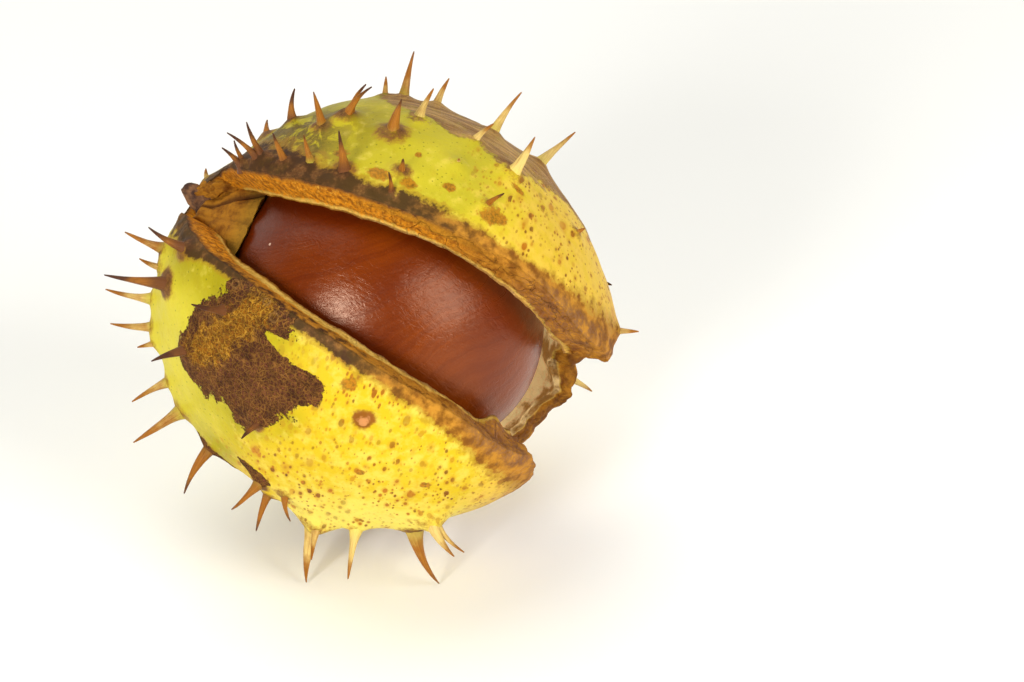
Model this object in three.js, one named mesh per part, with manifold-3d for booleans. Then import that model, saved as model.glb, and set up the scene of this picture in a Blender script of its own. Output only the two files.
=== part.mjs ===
// A horse chestnut still sitting in its husk, which has split open along one side.
// Millimetres, Z up, the split facing -Y and upwards, the husk standing on four spine tips.
//
// Two nodes: `husk` is one grown piece (three valves joined at the stem end, with their spines)
// and `seed` is the loose nut inside it.
//
// The husk is laid out on an ellipsoid in its own frame: x runs from the stem end to the open
// tip, `theta` is the angle from the stem end and `phi` the angle around the long axis, with
// phi = 0 in the middle of the split and growing towards the upper valve.

import * as THREE from 'three';
import { mergeVertices } from 'three/addons/utils/BufferGeometryUtils.js';
import Module from 'manifold-3d';

// ---- driving dimensions -------------------------------------------------------------------

// Husk body.
const HUSK_HALF_LENGTH = 25.0;
const HUSK_RADIUS = 23.2;
const WALL_AT_RIM = 4.3;
const WALL_AT_ENDS = 4.6;
const WALL_MIDDLE_SWELL = 1.6;
const GROOVE_DEPTH = 0.9;

// How the husk lies: its middle above the floor, the roll of its long axis and the tip back.
const HUSK_CENTRE = [1.26, -1.16, 26.5];
const HUSK_ROLL = -26.2;
const HUSK_PITCH = 60;

// Edges of the split, as [theta, phi] in degrees from the stem end to the tip.
const UPPER_RIM = [[6, 96], [13, 73], [24, 43], [33, 33], [45, 29], [62, 27], [83, 28], [105, 30],
  [126, 32], [145, 34], [152, 37], [158, 46], [165, 62]];
const LOWER_RIM = [[6, 3], [22, -6], [36, -9], [54, -9.5], [70, -10.5], [84, -12], [94, -13],
  [109, -15], [125, -18.5], [137, -25.5], [146, -31], [153, -37], [160, -50], [165, -70]];

// Where the wall stops at the open tip, as [share of the way round, theta].
const TIP_LINE = [[0, 163], [0.07, 166], [0.14, 165], [0.34, 157], [0.4, 150], [0.45, 157],
  [0.5, 155], [0.56, 150], [0.62, 143], [0.66, 138], [0.74, 148], [0.8, 155], [0.87, 158],
  [0.94, 157], [1, 154]];
const STEM_HOLE = 6;

// Seams between the valves, as shares of the way round from the upper rim to the lower rim.
const BACK_SEAM = 0.4;
const UNDER_SEAM = 0.7;
const UNDER_SPLIT = { from: 45, to: 175, start: 0.002, grow: 0.04 };

// Broad swells and hollows of the body, as [theta, phi, height, spread in degrees].
const SWELLS = [[40, 88, -0.5, 16], [30, -88, 0.4, 18], [100, -86, 0.4, 18], [138, -84, -0.6, 14],
  [158, 75, 0.9, 14]];

// Stem end.
const STEM_PLUG = { at: [-21.0, 0.2, 0], size: [2.1, 6.6, 6.6] };
const STEM_KNOB = { from: [-21.8, 2.0, 0], to: [-25.7, 2.7, 0.1], wide: 1.7, narrow: 0.5 };

// Spines of the two valves beside the split, as
// [theta, phi, height, offset towards the tip, offset around, root radius].
const SPINES = [
  // upper valve
  [38, 37, 4.5, -1, -0.5, 0.9], [39, 38, 4.5, 0.5, 0.5, 0.9], [31, 38, 2.5, -0.5, 0, 0.8],
  [47, 35, 3.5, 0, 0.5, 0.9], [41, 66, 3.5, 1.5, 0.5, 1.2], [53, 52, 4.5, 0, 0, 1.3],
  [58, 57, 4, 3.5, 0, 1.3], [59, 58, 4, 2, 0.5, 1.1], [55, 35, 3.5, 0, 0.5, 0.9],
  [65, 34, 5.5, 0, 0.5, 1.2], [79, 32, 3, -0.5, 0, 0.6], [72, 52, 4.5, 0.5, 0.5, 1.8],
  [79, 39, 2, 0, 0, 1.1], [64, 90, 2.5, 0, 0, 1.0], [69, 88, 5.5, 0.5, 0, 1.2],
  [76, 64, 4, 1, 0, 1.3], [78, 90, 3.5, 0.5, 0, 1.2], [95, 81, 5.5, 0.5, 0, 1.1],
  [92, 64, 3, 1, 0, 1.1], [105, 60, 5, -0.5, 0.5, 1.7], [110, 88, 5.5, 0.5, 0, 1.3],
  [103, 42, 3, 0.5, 0, 0.8], [91, 50, 1.5, 0, 0, 0.9], [129, 66, 1.5, 0, 0, 1.0],
  [158, 80, 2.5, 0, 0, 1.0],
  // lower valve
  [28, -16, 5, -0.5, 1, 1.3], [16, -38, 5, -0.5, 0.5, 1.3], [21, -44, 3, -0.5, 0.5, 1.1],
  [28, -39, 7.5, -0.5, 0, 1.5], [23, -80, 5.5, -1, 0, 1.2], [30, -82, 5, -1, 0, 1.3],
  [34, -83, 2.5, 0, 0, 1.1], [52, -22, 5, -0.5, 0.5, 1.4], [46, -47, 4.5, 0, -0.5, 1.6],
  [44, -84, 5, 0.5, 0, 1.2], [52, -85, 7, 0.5, 0, 1.8], [64, -86, 6, 2, 0, 1.6],
  [81, -74, 4.5, -1, 0, 1.3], [84, -80, 4.5, 1, 0, 1.2], [88, -72, 2.5, 2, 0, 1.0],
  [109, -80, 6, 0, 0, 1.3], [127, -68, 5, 2, 0.5, 1.9], [74, -47, 3, 0, 0, 1.0],
  [99, -29, 0.8, 0, 0, 1.7],
];

// Spines the husk stands on, as [theta, phi, floor x, floor y, root radius].
const FEET = [[98, -87, -7.3, -15.1, 2.0], [124, -79, 7.2, -15.1, 1.9],
  [80, -135, -11.2, 8.2, 1.7], [115, -150, 6.8, 9.9, 1.7]];
const FOOT_TIP_RADIUS = 0.75;

// Spines of the side turned away, spread evenly by the golden angle. They stay behind the
// outline of the two valves beside the split.
const FAR_SPINES = { count: 92, from: 104, to: 256, root: 1.2, shortest: 3.0, longest: 5.6 };
const SPINE_TIP_RADIUS = 0.28;
const SPINE_SINK = 1.2;
const LOWEST_TIP = 0.5;

// Nut.
const SEED_CENTRE = [-0.2, 0.3, 0.3];
const SEED_SIZE = [18.2, 16.6, 16.8];
const SEED_TILT = -3;
const SEED_STEM_FLAT = -17.6;
const SEED_TAPER = 0.05;

// ---- helpers ------------------------------------------------------------------------------

const wasm = await Module();
wasm.setup();
const { Manifold, Mesh } = wasm;

const rad = THREE.MathUtils.degToRad;
const lieDown = new THREE.Matrix4()
  .makeRotationX(rad(HUSK_PITCH))
  .multiply(new THREE.Matrix4().makeRotationZ(rad(HUSK_ROLL)))
  .setPosition(...HUSK_CENTRE);
const standUp = lieDown.clone().invert();

// Straight-line reading of a table of [x, y] rows.
function read(table, x) {
  if (x <= table[0][0]) return table[0][1];
  for (let i = 1; i < table.length; i += 1) {
    const [x0, y0] = table[i - 1];
    const [x1, y1] = table[i];
    if (x <= x1) return y0 + ((y1 - y0) * (x - x0)) / (x1 - x0);
  }
  return table[table.length - 1][1];
}

const upperRim = (theta) => read(UPPER_RIM, theta);
const lowerRim = (theta) => 360 + read(LOWER_RIM, theta);

// Angle around the axis at a share `v` of the way from the upper rim to the lower rim.
function aroundAt(theta, v) {
  return upperRim(theta) + v * (lowerRim(theta) - upperRim(theta));
}

function shareAt(theta, phi) {
  return (phi - upperRim(theta)) / (lowerRim(theta) - upperRim(theta));
}

function direction(theta, phi) {
  const t = rad(theta);
  const p = rad(phi);
  return new THREE.Vector3(-Math.cos(t), Math.sin(t) * Math.sin(p), Math.sin(t) * Math.cos(p));
}

function ellipsoidReach(theta, halfLength, radius) {
  const t = rad(theta);
  return 1 / Math.hypot(Math.cos(t) / halfLength, Math.sin(t) / radius);
}

// Signed smallest turn between two directions on the body, in degrees.
function spread(theta0, phi0, theta1, phi1) {
  return THREE.MathUtils.radToDeg(direction(theta0, phi0).angleTo(direction(theta1, phi1)));
}

function seamGroove(theta, v) {
  const back = Math.exp(-(((v - BACK_SEAM) / 0.016) ** 2));
  const under = Math.exp(-(((v - UNDER_SEAM) / 0.016) ** 2));
  return GROOVE_DEPTH * (back + under);
}

// Distance of the outside of the husk from its middle.
function outerReach(theta, phi, v) {
  const swell = SWELLS.reduce((sum, [t, p, height, width]) => (
    sum + height * Math.exp(-((spread(theta, phi, t, p) / width) ** 2))), 0);
  return ellipsoidReach(theta, HUSK_HALF_LENGTH, HUSK_RADIUS) + swell - seamGroove(theta, v);
}

// Distance of the inside of the husk, which swells inwards in the middle of each valve.
function innerReach(theta, v) {
  const bounds = [0, BACK_SEAM, UNDER_SEAM, 1];
  const valve = v < BACK_SEAM ? 0 : v < UNDER_SEAM ? 1 : 2;
  const across = (v - bounds[valve]) / (bounds[valve + 1] - bounds[valve]);
  const swell = WALL_MIDDLE_SWELL * Math.sin(Math.PI * across) ** 2 * Math.sin(rad(theta)) ** 2;
  const halfLength = HUSK_HALF_LENGTH - WALL_AT_ENDS;
  return ellipsoidReach(theta, halfLength, HUSK_RADIUS - WALL_AT_RIM) - swell;
}

// Move every vertex of a geometry by a function and weld the result.
function bend(geometry, place) {
  const bare = geometry.clone();
  bare.deleteAttribute('normal');
  bare.deleteAttribute('uv');
  const welded = mergeVertices(bare, 1e-5);
  const position = welded.getAttribute('position');
  const point = new THREE.Vector3();
  for (let i = 0; i < position.count; i += 1) {
    point.fromBufferAttribute(position, i);
    const moved = place(point.clone());
    position.setXYZ(i, moved.x, moved.y, moved.z);
  }
  return welded;
}

function toSolid(geometry) {
  return new Manifold(new Mesh({
    numProp: 3,
    vertProperties: Float32Array.from(geometry.getAttribute('position').array),
    triVerts: Uint32Array.from(geometry.getIndex().array),
  }));
}

function toMesh(solid, name, material) {
  const { vertProperties, triVerts } = solid.getMesh();
  const geometry = new THREE.BufferGeometry();
  geometry.setAttribute('position', new THREE.Float32BufferAttribute(vertProperties, 3));
  geometry.setIndex(new THREE.Uint32BufferAttribute(triVerts, 1));
  geometry.computeVertexNormals();
  const mesh = new THREE.Mesh(geometry, material);
  mesh.name = name;
  return mesh;
}

// ---- husk ---------------------------------------------------------------------------------

// The wall of all three valves, one slab wrapped around the body from rim to rim.
function wall() {
  const slab = new THREE.BoxGeometry(1, 1, 1, 22, 40, 2);
  return toSolid(bend(slab, ({ x, y, z }) => {
    const v = y + 0.5;
    const through = z + 0.5;
    const theta = STEM_HOLE + (x + 0.5) * (read(TIP_LINE, v) - STEM_HOLE);
    const phi = aroundAt(theta, v);
    const inside = innerReach(theta, v);
    const reach = inside + through * (outerReach(theta, phi, v) - inside);
    return direction(theta, phi).multiplyScalar(reach).applyMatrix4(lieDown);
  }));
}

// Wedge that opens the seam under the husk towards the tip.
function underSplit() {
  const { from, to, start, grow } = UNDER_SPLIT;
  const wedge = new THREE.BoxGeometry(1, 1, 1, 10, 1, 1);
  return toSolid(bend(wedge, ({ x, y, z }) => {
    const along = x + 0.5;
    const theta = from + along * (to - from);
    const phi = aroundAt(theta, UNDER_SEAM + 2 * y * (start + grow * along ** 1.5));
    const reach = (z > 0 ? 1.2 : 0.62) * ellipsoidReach(theta, HUSK_HALF_LENGTH, HUSK_RADIUS);
    return direction(theta, phi).multiplyScalar(reach).applyMatrix4(lieDown);
  }));
}

function stemPlug() {
  const { at, size } = STEM_PLUG;
  const ball = new THREE.SphereGeometry(1, 14, 9);
  return toSolid(bend(ball, (p) => (
    new THREE.Vector3(at[0] + size[0] * p.x, at[1] + size[1] * p.y, at[2] + size[2] * p.z)
      .applyMatrix4(lieDown))));
}

// A round, tapering rod along a curve: the radius falls away quickly above the root.
function rod(curve, root, tip, sides = 5, steps = 3) {
  const straight = new THREE.CylinderGeometry(1, 1, 1, sides, steps);
  return toSolid(bend(straight, ({ x, y, z }) => {
    const t = y + 0.5;
    const tangent = curve.getTangent(t);
    const sideways = new THREE.Vector3(0.31, 0.95, 0.11).cross(tangent).normalize();
    const across = sideways.clone().cross(tangent);
    const radius = tip + (root - tip) * (1 - t) ** 1.6;
    return curve.getPoint(t).addScaledVector(sideways, x * radius).addScaledVector(across, z * radius);
  }));
}

function stemKnob() {
  const { from, to, wide, narrow } = STEM_KNOB;
  const ends = [from, to].map((p) => new THREE.Vector3(...p).applyMatrix4(lieDown));
  return rod(new THREE.LineCurve3(...ends), wide, narrow, 7, 2);
}

// Root point of a spine with the directions away from the skin, towards the tip and around.
function rootAt(theta, phi) {
  const v = shareAt(theta, (phi + 360) % 360);
  const root = direction(theta, phi).multiplyScalar(outerReach(theta, phi, v));
  const out = new THREE.Vector3(root.x / HUSK_HALF_LENGTH ** 2, root.y / HUSK_RADIUS ** 2,
    root.z / HUSK_RADIUS ** 2).normalize();
  const around = direction(90, phi + 90);
  const along = around.clone().cross(out);
  return { root, out, along, around };
}

function curveTo(root, out, tip, height) {
  const start = root.clone().addScaledVector(out, -SPINE_SINK);
  const middle = root.clone().addScaledVector(out, height * 0.45);
  return new THREE.QuadraticBezierCurve3(start.applyMatrix4(lieDown),
    middle.applyMatrix4(lieDown), tip.clone().applyMatrix4(lieDown));
}

// A spine by its height and sideways lean; it is shortened if its tip would reach the floor.
function spine([theta, phi, height, lean, sweep, radius]) {
  const { root, out, along, around } = rootAt(theta, phi);
  for (let share = 1; share > 0.3; share -= 0.05) {
    const tip = root.clone().addScaledVector(out, height * share)
      .addScaledVector(along, lean * share).addScaledVector(around, sweep * share);
    if (tip.clone().applyMatrix4(lieDown).z > LOWEST_TIP) {
      return rod(curveTo(root, out, tip, height * share), radius, SPINE_TIP_RADIUS);
    }
  }
  return null;
}

function foot([theta, phi, x, y, radius]) {
  const { root, out } = rootAt(theta, phi);
  const tip = new THREE.Vector3(x, y, -0.5).applyMatrix4(standUp);
  return rod(curveTo(root, out, tip, tip.distanceTo(root)), radius, FOOT_TIP_RADIUS, 6, 4);
}

// Height at which a spine of the far side would just show past the outline.
function roomBehindOutline(theta, phi) {
  const { root } = rootAt(theta, phi);
  const share = Math.hypot(root.x / HUSK_HALF_LENGTH, root.y / HUSK_RADIUS);
  return (1.03 / share - 1) * HUSK_RADIUS;
}

function farSpines() {
  const { count, from, to, root, shortest, longest } = FAR_SPINES;
  const rows = [];
  for (let i = 0; i < count; i += 1) {
    const theta = THREE.MathUtils.radToDeg(Math.acos(1 - (2 * (i + 0.5)) / count));
    const phi = (i * 137.508) % 360;
    const v = shareAt(theta, phi);
    const nearSeam = Math.min(Math.abs(v - BACK_SEAM), Math.abs(v - UNDER_SEAM - 0.01)) < 0.035;
    const nearFoot = FEET.some(([t, p]) => spread(theta, phi, t, p) < 11);
    const inWall = theta > 14 && theta < read(TIP_LINE, v) - 7;
    if (phi > from && phi < to && inWall && !nearSeam && !nearFoot) {
      const wobble = Math.sin(i * 2.4);
      const wanted = shortest + (longest - shortest) * (0.5 + 0.5 * Math.sin(i * 1.7));
      const height = Math.min(wanted, roomBehindOutline(theta, phi));
      rows.push([theta, phi, height, 1.2 * wobble, 0.8 * Math.cos(i * 3.1), root + 0.3 * wobble]);
    }
  }
  return rows;
}

function husk() {
  const spines = [...SPINES, ...farSpines()].map(spine).filter((solid) => solid !== null);
  const grown = Manifold.union([
    wall().subtract(underSplit()), stemPlug(), stemKnob(), ...spines, ...FEET.map(foot),
  ]);
  const standing = grown.trimByPlane([0, 0, 1], 0);
  return toMesh(standing, 'husk', new THREE.MeshStandardMaterial({
    color: 0xa8ab4a, roughness: 0.75, metalness: 0,
  }));
}

// ---- nut ----------------------------------------------------------------------------------

// An egg shape, blunt and a little flattened at the stem end where the pale scar sits.
function seed() {
  const ball = new THREE.SphereGeometry(1, 36, 22).rotateZ(-Math.PI / 2);
  const tilt = new THREE.Matrix4().makeRotationZ(rad(SEED_TILT)).setPosition(...SEED_CENTRE);
  const solid = toSolid(bend(ball, (p) => {
    const girth = 1 - SEED_TAPER * p.x;
    const x = Math.max(SEED_SIZE[0] * p.x, SEED_STEM_FLAT + 0.3 * (p.x + 1));
    return new THREE.Vector3(x, SEED_SIZE[1] * p.y * girth, SEED_SIZE[2] * p.z * girth)
      .applyMatrix4(tilt).applyMatrix4(lieDown);
  }));
  return toMesh(solid, 'seed', new THREE.MeshStandardMaterial({
    color: 0x6b2a12, roughness: 0.25, metalness: 0,
  }));
}

const chestnut = new THREE.Group();
chestnut.name = 'horse_chestnut';
chestnut.add(husk(), seed());

export default chestnut;
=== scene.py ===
"""A horse chestnut lying in its split, spiny husk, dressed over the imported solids.

Shapes are worked out in the husk's own frame, in millimetres: x runs from the stem end to the
open tip, theta is the angle from the stem end, phi the angle around the long axis, zero in the
middle of the split and growing towards the upper valve. `to_world` lays them down in metres.
"""

import math

import bpy
import numpy as np
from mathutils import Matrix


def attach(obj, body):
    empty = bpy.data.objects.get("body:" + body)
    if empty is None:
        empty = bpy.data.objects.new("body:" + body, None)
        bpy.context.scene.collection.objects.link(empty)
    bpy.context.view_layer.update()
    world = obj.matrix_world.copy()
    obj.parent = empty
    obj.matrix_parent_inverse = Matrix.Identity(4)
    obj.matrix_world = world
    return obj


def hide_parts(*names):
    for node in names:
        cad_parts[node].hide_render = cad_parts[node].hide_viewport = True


bl_info = {
    "name": "Horse chestnut in its husk",
    "version": (1, 0, 0),
    "blender": (4, 5, 0),
    "location": "3D View > Sidebar > Chestnut",
    "description": "Builds the husk, its spines, the nut and a plain stage",
    "category": "Add Mesh",
}

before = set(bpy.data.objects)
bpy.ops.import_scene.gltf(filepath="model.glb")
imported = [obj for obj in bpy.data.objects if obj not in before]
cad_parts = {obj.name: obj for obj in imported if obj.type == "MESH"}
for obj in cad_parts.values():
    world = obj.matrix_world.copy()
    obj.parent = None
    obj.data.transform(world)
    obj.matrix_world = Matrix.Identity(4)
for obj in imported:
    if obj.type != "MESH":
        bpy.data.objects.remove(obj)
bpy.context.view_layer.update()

# ---- shape of the husk, as in the solids ---------------------------------------------------

HUSK_CENTRE = (1.26, -1.16, 26.5)
HUSK_ROLL = -26.2
HUSK_PITCH = 60.0
HUSK_HALF_LENGTH = 25.0
HUSK_RADIUS = 23.2
MEAN_RADIUS = 24.0
MM_PER_DEGREE = 0.42
WALL_AT_RIM = 4.3
WALL_AT_ENDS = 4.6
WALL_MIDDLE_SWELL = 1.6
THIN_TIP_WALL = 2.9
GROOVE_DEPTH = 0.9
GROOVE_WIDTH = 0.016
STEM_HOLE = 6.0

# Edges of the split, as (theta, phi) in degrees.
UPPER_RIM = ((6, 96), (13, 73), (24, 43), (33, 33), (45, 29), (62, 27), (83, 28), (105, 30),
             (126, 32), (145, 34), (152, 37), (158, 46), (165, 62))
LOWER_RIM = ((6, 3), (22, -6), (36, -9), (54, -9.5), (70, -10.5), (84, -12), (94, -13),
             (109, -15), (125, -18.5), (137, -25.5), (146, -31), (153, -37), (160, -50),
             (165, -70))
# Where the wall stops at the open tip, as (share of the way round, theta).
TIP_LINE = ((0, 163), (0.07, 166), (0.14, 165), (0.34, 159), (0.4, 156), (0.45, 160),
            (0.5, 158), (0.56, 153), (0.62, 147), (0.66, 142), (0.74, 149), (0.8, 155),
            (0.87, 158), (0.94, 157), (1, 154))
BACK_SEAM = 0.4
UNDER_SEAM = 0.7
SEAM_OVERLAP = 0.0008
SPLIT_START = 45.0
# Each valve: shares where it starts and ends, how much the two rims sway, seeds of its rim and
# of its folds, and its grid along, around and through the wall.
VALVES = {"upper": (0.0, BACK_SEAM, 1.0, 0.0, 3, 2, (190, 165, 14)),
          "front": (UNDER_SEAM, 1.0, 0.6, 1.0, 23, 37, (190, 150, 14)),
          "back": (BACK_SEAM, UNDER_SEAM, 0.0, 0.6, 11, 19, (170, 120, 12))}
# Broad swells and hollows, as (theta, phi, height, spread in degrees).
SWELLS = ((40, 88, -0.5, 16), (26, 84, -1.5, 15), (30, -88, 0.4, 18), (100, -86, 0.4, 18),
          (138, -84, -0.6, 14), (158, 75, 0.9, 14))

# Spines beside the split, as
# (theta, phi, height, offset towards the tip, offset around, root radius, darkness).
SPINES = (
    (38, 37, 4.5, -1, -0.5, 0.9, 0.8), (39, 38, 4.5, 0.5, 0.5, 0.9, 0.8),
    (31, 38, 2.5, -0.5, 0, 0.8, 0.8), (32, 39, 2.4, 0.4, 0.5, 0.7, 0.8),
    (47, 35, 3.5, 0, 0.5, 0.9, 0.65), (41, 66, 3.5, 1.5, 0.5, 1.2, 0.75),
    (53, 52, 4.5, 0, 0, 1.3, 0.5), (58, 57, 4, 3.5, 0, 1.3, 0.6),
    (59, 58, 4, 2, 0.5, 1.1, 0.6), (55, 35, 3.5, 0, 0.5, 0.9, 0.45),
    (65, 34, 5.5, 0, 0.5, 1.2, 0.75), (79, 32, 3, -0.5, 0, 0.6, 0.75),
    (72, 52, 4.5, 0.5, 0.5, 1.8, 0.5), (79, 39, 2, 0, 0, 1.1, 0.55),
    (64, 90, 2.5, 0, 0, 1.0, 0.3), (69, 88, 5.5, 0.5, 0, 1.2, 0.45),
    (76, 64, 4, 1, 0, 1.3, 0.2), (78, 90, 3.5, 0.5, 0, 1.2, 0.25),
    (95, 81, 5.5, 0.5, 0, 1.1, 0.2), (92, 64, 3, 1, 0, 1.1, 0.2),
    (105, 60, 5, -0.5, 0.5, 1.7, 0.1), (110, 88, 5.5, 0.5, 0, 1.3, 0.1),
    (103, 42, 3, 0.5, 0, 0.8, 0.6), (91, 50, 0.8, 0, 0, 0.9, 0.0),
    (129, 66, 1.2, 0, 0, 1.0, 0.4), (158, 80, 2.5, 0, 0, 1.0, 0.3),
    (28, -16, 5, -0.5, 1, 1.3, 0.85), (16, -38, 5, -0.5, 0.5, 1.3, 0.4),
    (21, -44, 3, -0.5, 0.5, 1.1, 0.3), (28, -39, 7.5, -0.5, 0, 1.5, 0.8),
    (23, -80, 5.5, -1, 0, 1.2, 0.25), (30, -82, 5, -1, 0, 1.3, 0.25),
    (34, -83, 2.5, 0, 0, 1.1, 0.3), (52, -22, 5, -0.5, 0.5, 1.2, 0.95),
    (46, -47, 4.5, 0, -0.5, 1.4, 0.95), (44, -84, 5, 0.5, 0, 1.2, 0.3),
    (52, -85, 7, 0.5, 0, 1.8, 0.35), (64, -86, 6, 2, 0, 1.6, 0.55),
    (81, -74, 4.5, -1, 0, 1.3, 0.5), (84, -80, 4.5, 1, 0, 1.2, 0.55),
    (88, -72, 2.5, 2, 0, 1.0, 0.5), (109, -80, 6, 0, 0, 1.3, 0.1),
    (127, -68, 5, 2, 0.5, 1.9, 0.05), (128, -69, 4.6, 2.8, 0.4, 1.2, 0.1),
    (74, -47, 3, 0, 0, 1.0, 0.9), (99, -85, 4.6, 0.5, 1.6, 1.4, 0.2),
)
# Spines the husk stands on, as (theta, phi, floor x, floor y, root radius, darkness).
FEET = ((98, -87, -7.3, -15.1, 2.2, 0.2), (124, -79, 7.2, -15.1, 1.8, 0.45),
        (80, -135, -11.2, 8.2, 1.7, 0.4), (115, -150, 6.8, 9.9, 1.7, 0.4))
FAR_COUNT = 92
FAR_FROM = 104.0
FAR_TO = 256.0
GOLDEN_ANGLE = 137.508
FAR_OUTLINE = 1.03
ROOT_DEPTH = 0.9
BEND_SHARE = 0.45
LOWEST_TIP = 0.5
FOOT_HEIGHT = 0.25

# ---- stains of the skin --------------------------------------------------------------------

# Width of the dead margin beside each edge of the split, as (theta, millimetres).
UPPER_MARGIN = ((15, 8), (30, 6.4), (45, 5.2), (58, 3.4), (70, 2.7), (85, 2.9), (100, 1.9),
                (120, 1.6), (135, 3.2), (150, 5), (165, 7))
LOWER_MARGIN = ((10, 2.6), (25, 2.8), (38, 1.4), (60, 1.2), (90, 1.9), (110, 2.2), (125, 3),
                (140, 4.5), (150, 6), (160, 7))
TIP_MARGIN = 3.0
# Scurf, as (theta, phi, half length, half width in millimetres, turn in degrees).
SCURF = ((53, -36, 4.6, 6.4, 0), (66, -35, 6.2, 5.2, 10), (61, -17, 4.8, 3.6, -10),
         (79, -28, 3.6, 2.2, 15), (69, -46, 2.2, 3.0, 0), (48, -49, 2.4, 2.4, 0),
         (66, -86, 3.4, 1.4, 0), (78, -71, 2.2, 0.9, 0))
SCURF_GAPS = ((76, -20.5, 4.2, 0.9, -4),)
STREAK = ((50, -40), (62, -13), 2.5)
# Brown blotches, in the same way.
BLOTCHES = ((106, 40, 1.9, 1.3, 30), (92, 41, 0.8, 0.7, 0), (81, 47, 0.5, 0.5, 0),
            (109, 55, 1.2, 0.5, 0), (117, 58, 0.5, 0.8, 0), (74, 36, 1.4, 0.8, 0),
            (82, 36, 1.1, 0.7, 0), (92, -20, 1.3, 0.9, 50), (88, -15, 0.8, 0.6, 0),
            (104, -46, 0.6, 0.5, 0), (122, -46, 0.8, 0.5, 0), (62, 40, 1.0, 0.8, 0))
# Scurf over the top of the upper valve, its lower edge as (theta, phi).
CREST_EDGE = ((58, 100), (63, 84), (73, 66), (83, 62), (93, 59), (103, 57), (109, 66),
              (118, 73), (127, 79), (136, 90), (142, 104))
CREST_END = 116.0
CREST_FROM = 57
CREST_TO = 144
# Small ring scars, as (theta, phi, radius), and the wart, with its height.
RING_SCARS = ((51, -12.6, 0.45), (66, -14.5, 0.5), (62, -11.8, 0.35))
WART = (99, -28.5, 1.0, 0.6)
# Where the inner lip of the front valve sticks up as a small flap, how far and how long.
FLAP_THETA, FLAP_HEIGHT, FLAP_SPREAD = 143.0, 1.5, 4.5


# ---- numbers and fields --------------------------------------------------------------------

def read(table, x):
    """Straight-line reading of a table of pairs."""
    table = np.asarray(table, float)
    return np.interp(x, table[:, 0], table[:, 1])


def read_round(table, x, spread):
    """A table read with its corners rounded: the mean of five readings `spread` either side."""
    return sum(read(table, x + k * spread / 2) for k in (-2, -1, 0, 1, 2)) / 5


def ease(x, low, high):
    """Smooth step from 0 at `low` to 1 at `high`: 3t^2 - 2t^3 of the clamped share t."""
    t = np.clip((x - low) / (high - low), 0, 1)
    return t * t * (3 - 2 * t)


def columns(*parts):
    """Numbers and arrays side by side, as points."""
    return np.stack(np.broadcast_arrays(*parts), -1)


def lattice_noise(points, size, seed):
    """Smooth random field in -1..1: random values on a cubic lattice of spacing `size`,
    blended between the eight corners around each point with the 3t^2 - 2t^3 ease."""
    table = np.random.default_rng(seed).uniform(-1, 1, 8192)
    place = np.asarray(points, float) / size
    cell = np.floor(place).astype(np.int64)
    t = place - cell
    t = t * t * (3 - 2 * t)
    total = np.zeros(place.shape[:-1])
    for corner in np.ndindex(2, 2, 2):
        at = cell + np.array(corner)
        key = (at[..., 0] * 73856093) ^ (at[..., 1] * 19349663) ^ (at[..., 2] * 83492791)
        share = np.prod(np.where(np.array(corner) == 1, t, 1 - t), axis=-1)
        total += share * table[key % 8192]
    return total


def layered_noise(points, size, seed, layers=3):
    """Sum of lattice noises, each half the size and just over half the strength of the last."""
    return sum(0.55 ** k * lattice_noise(points, size / 2 ** k, seed + 17 * k)
               for k in range(layers))


def upper_rim(theta):
    return read_round(UPPER_RIM, theta, 3.0)


def lower_rim(theta):
    return 360 + read_round(LOWER_RIM, theta, 3.0)


def around_at(theta, v):
    """Angle around the axis at a share v of the way from the upper rim to the lower rim."""
    return upper_rim(theta) + v * (lower_rim(theta) - upper_rim(theta))


def share_at(theta, phi):
    return (phi - upper_rim(theta)) / (lower_rim(theta) - upper_rim(theta))


def girth_at(theta):
    """Millimetres over the skin from the upper rim round the back to the lower rim."""
    return np.radians(lower_rim(theta) - upper_rim(theta)) * HUSK_RADIUS * np.sin(
        np.radians(theta))


def direction(theta, phi):
    """Unit vector: minus cosine of theta along x, the rest turned by phi from z towards y."""
    t, p = np.radians(theta), np.radians(phi)
    return np.stack([-np.cos(t) + 0 * p, np.sin(t) * np.sin(p), np.sin(t) * np.cos(p)], -1)


def towards(theta, phi):
    """The same for a single place."""
    return direction(np.float64(theta), np.float64(phi))


def ellipsoid_reach(theta, half_length, radius):
    """Distance from the middle of an ellipsoid of revolution to its surface."""
    t = np.radians(theta)
    return 1 / np.hypot(np.cos(t) / half_length, np.sin(t) / radius)


def turn_between(theta, phi, theta0, phi0):
    """Angle in degrees between two directions from the middle."""
    dot = (direction(theta, phi) * towards(theta0, phi0)).sum(-1)
    return np.degrees(np.arccos(np.clip(dot, -1, 1)))


def outer_reach(theta, phi, v):
    """Distance of the skin from the middle: ellipsoid, plus bell-shaped swells, minus a
    bell-shaped groove along each seam."""
    reach = ellipsoid_reach(theta, HUSK_HALF_LENGTH, HUSK_RADIUS)
    for t, p, height, spread in SWELLS:
        reach = reach + height * np.exp(-(turn_between(theta, phi, t, p) / spread) ** 2)
    grooves = (np.exp(-((v - BACK_SEAM) / GROOVE_WIDTH) ** 2)
               + np.exp(-((v - UNDER_SEAM) / GROOVE_WIDTH) ** 2))
    return reach - GROOVE_DEPTH * grooves


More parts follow.
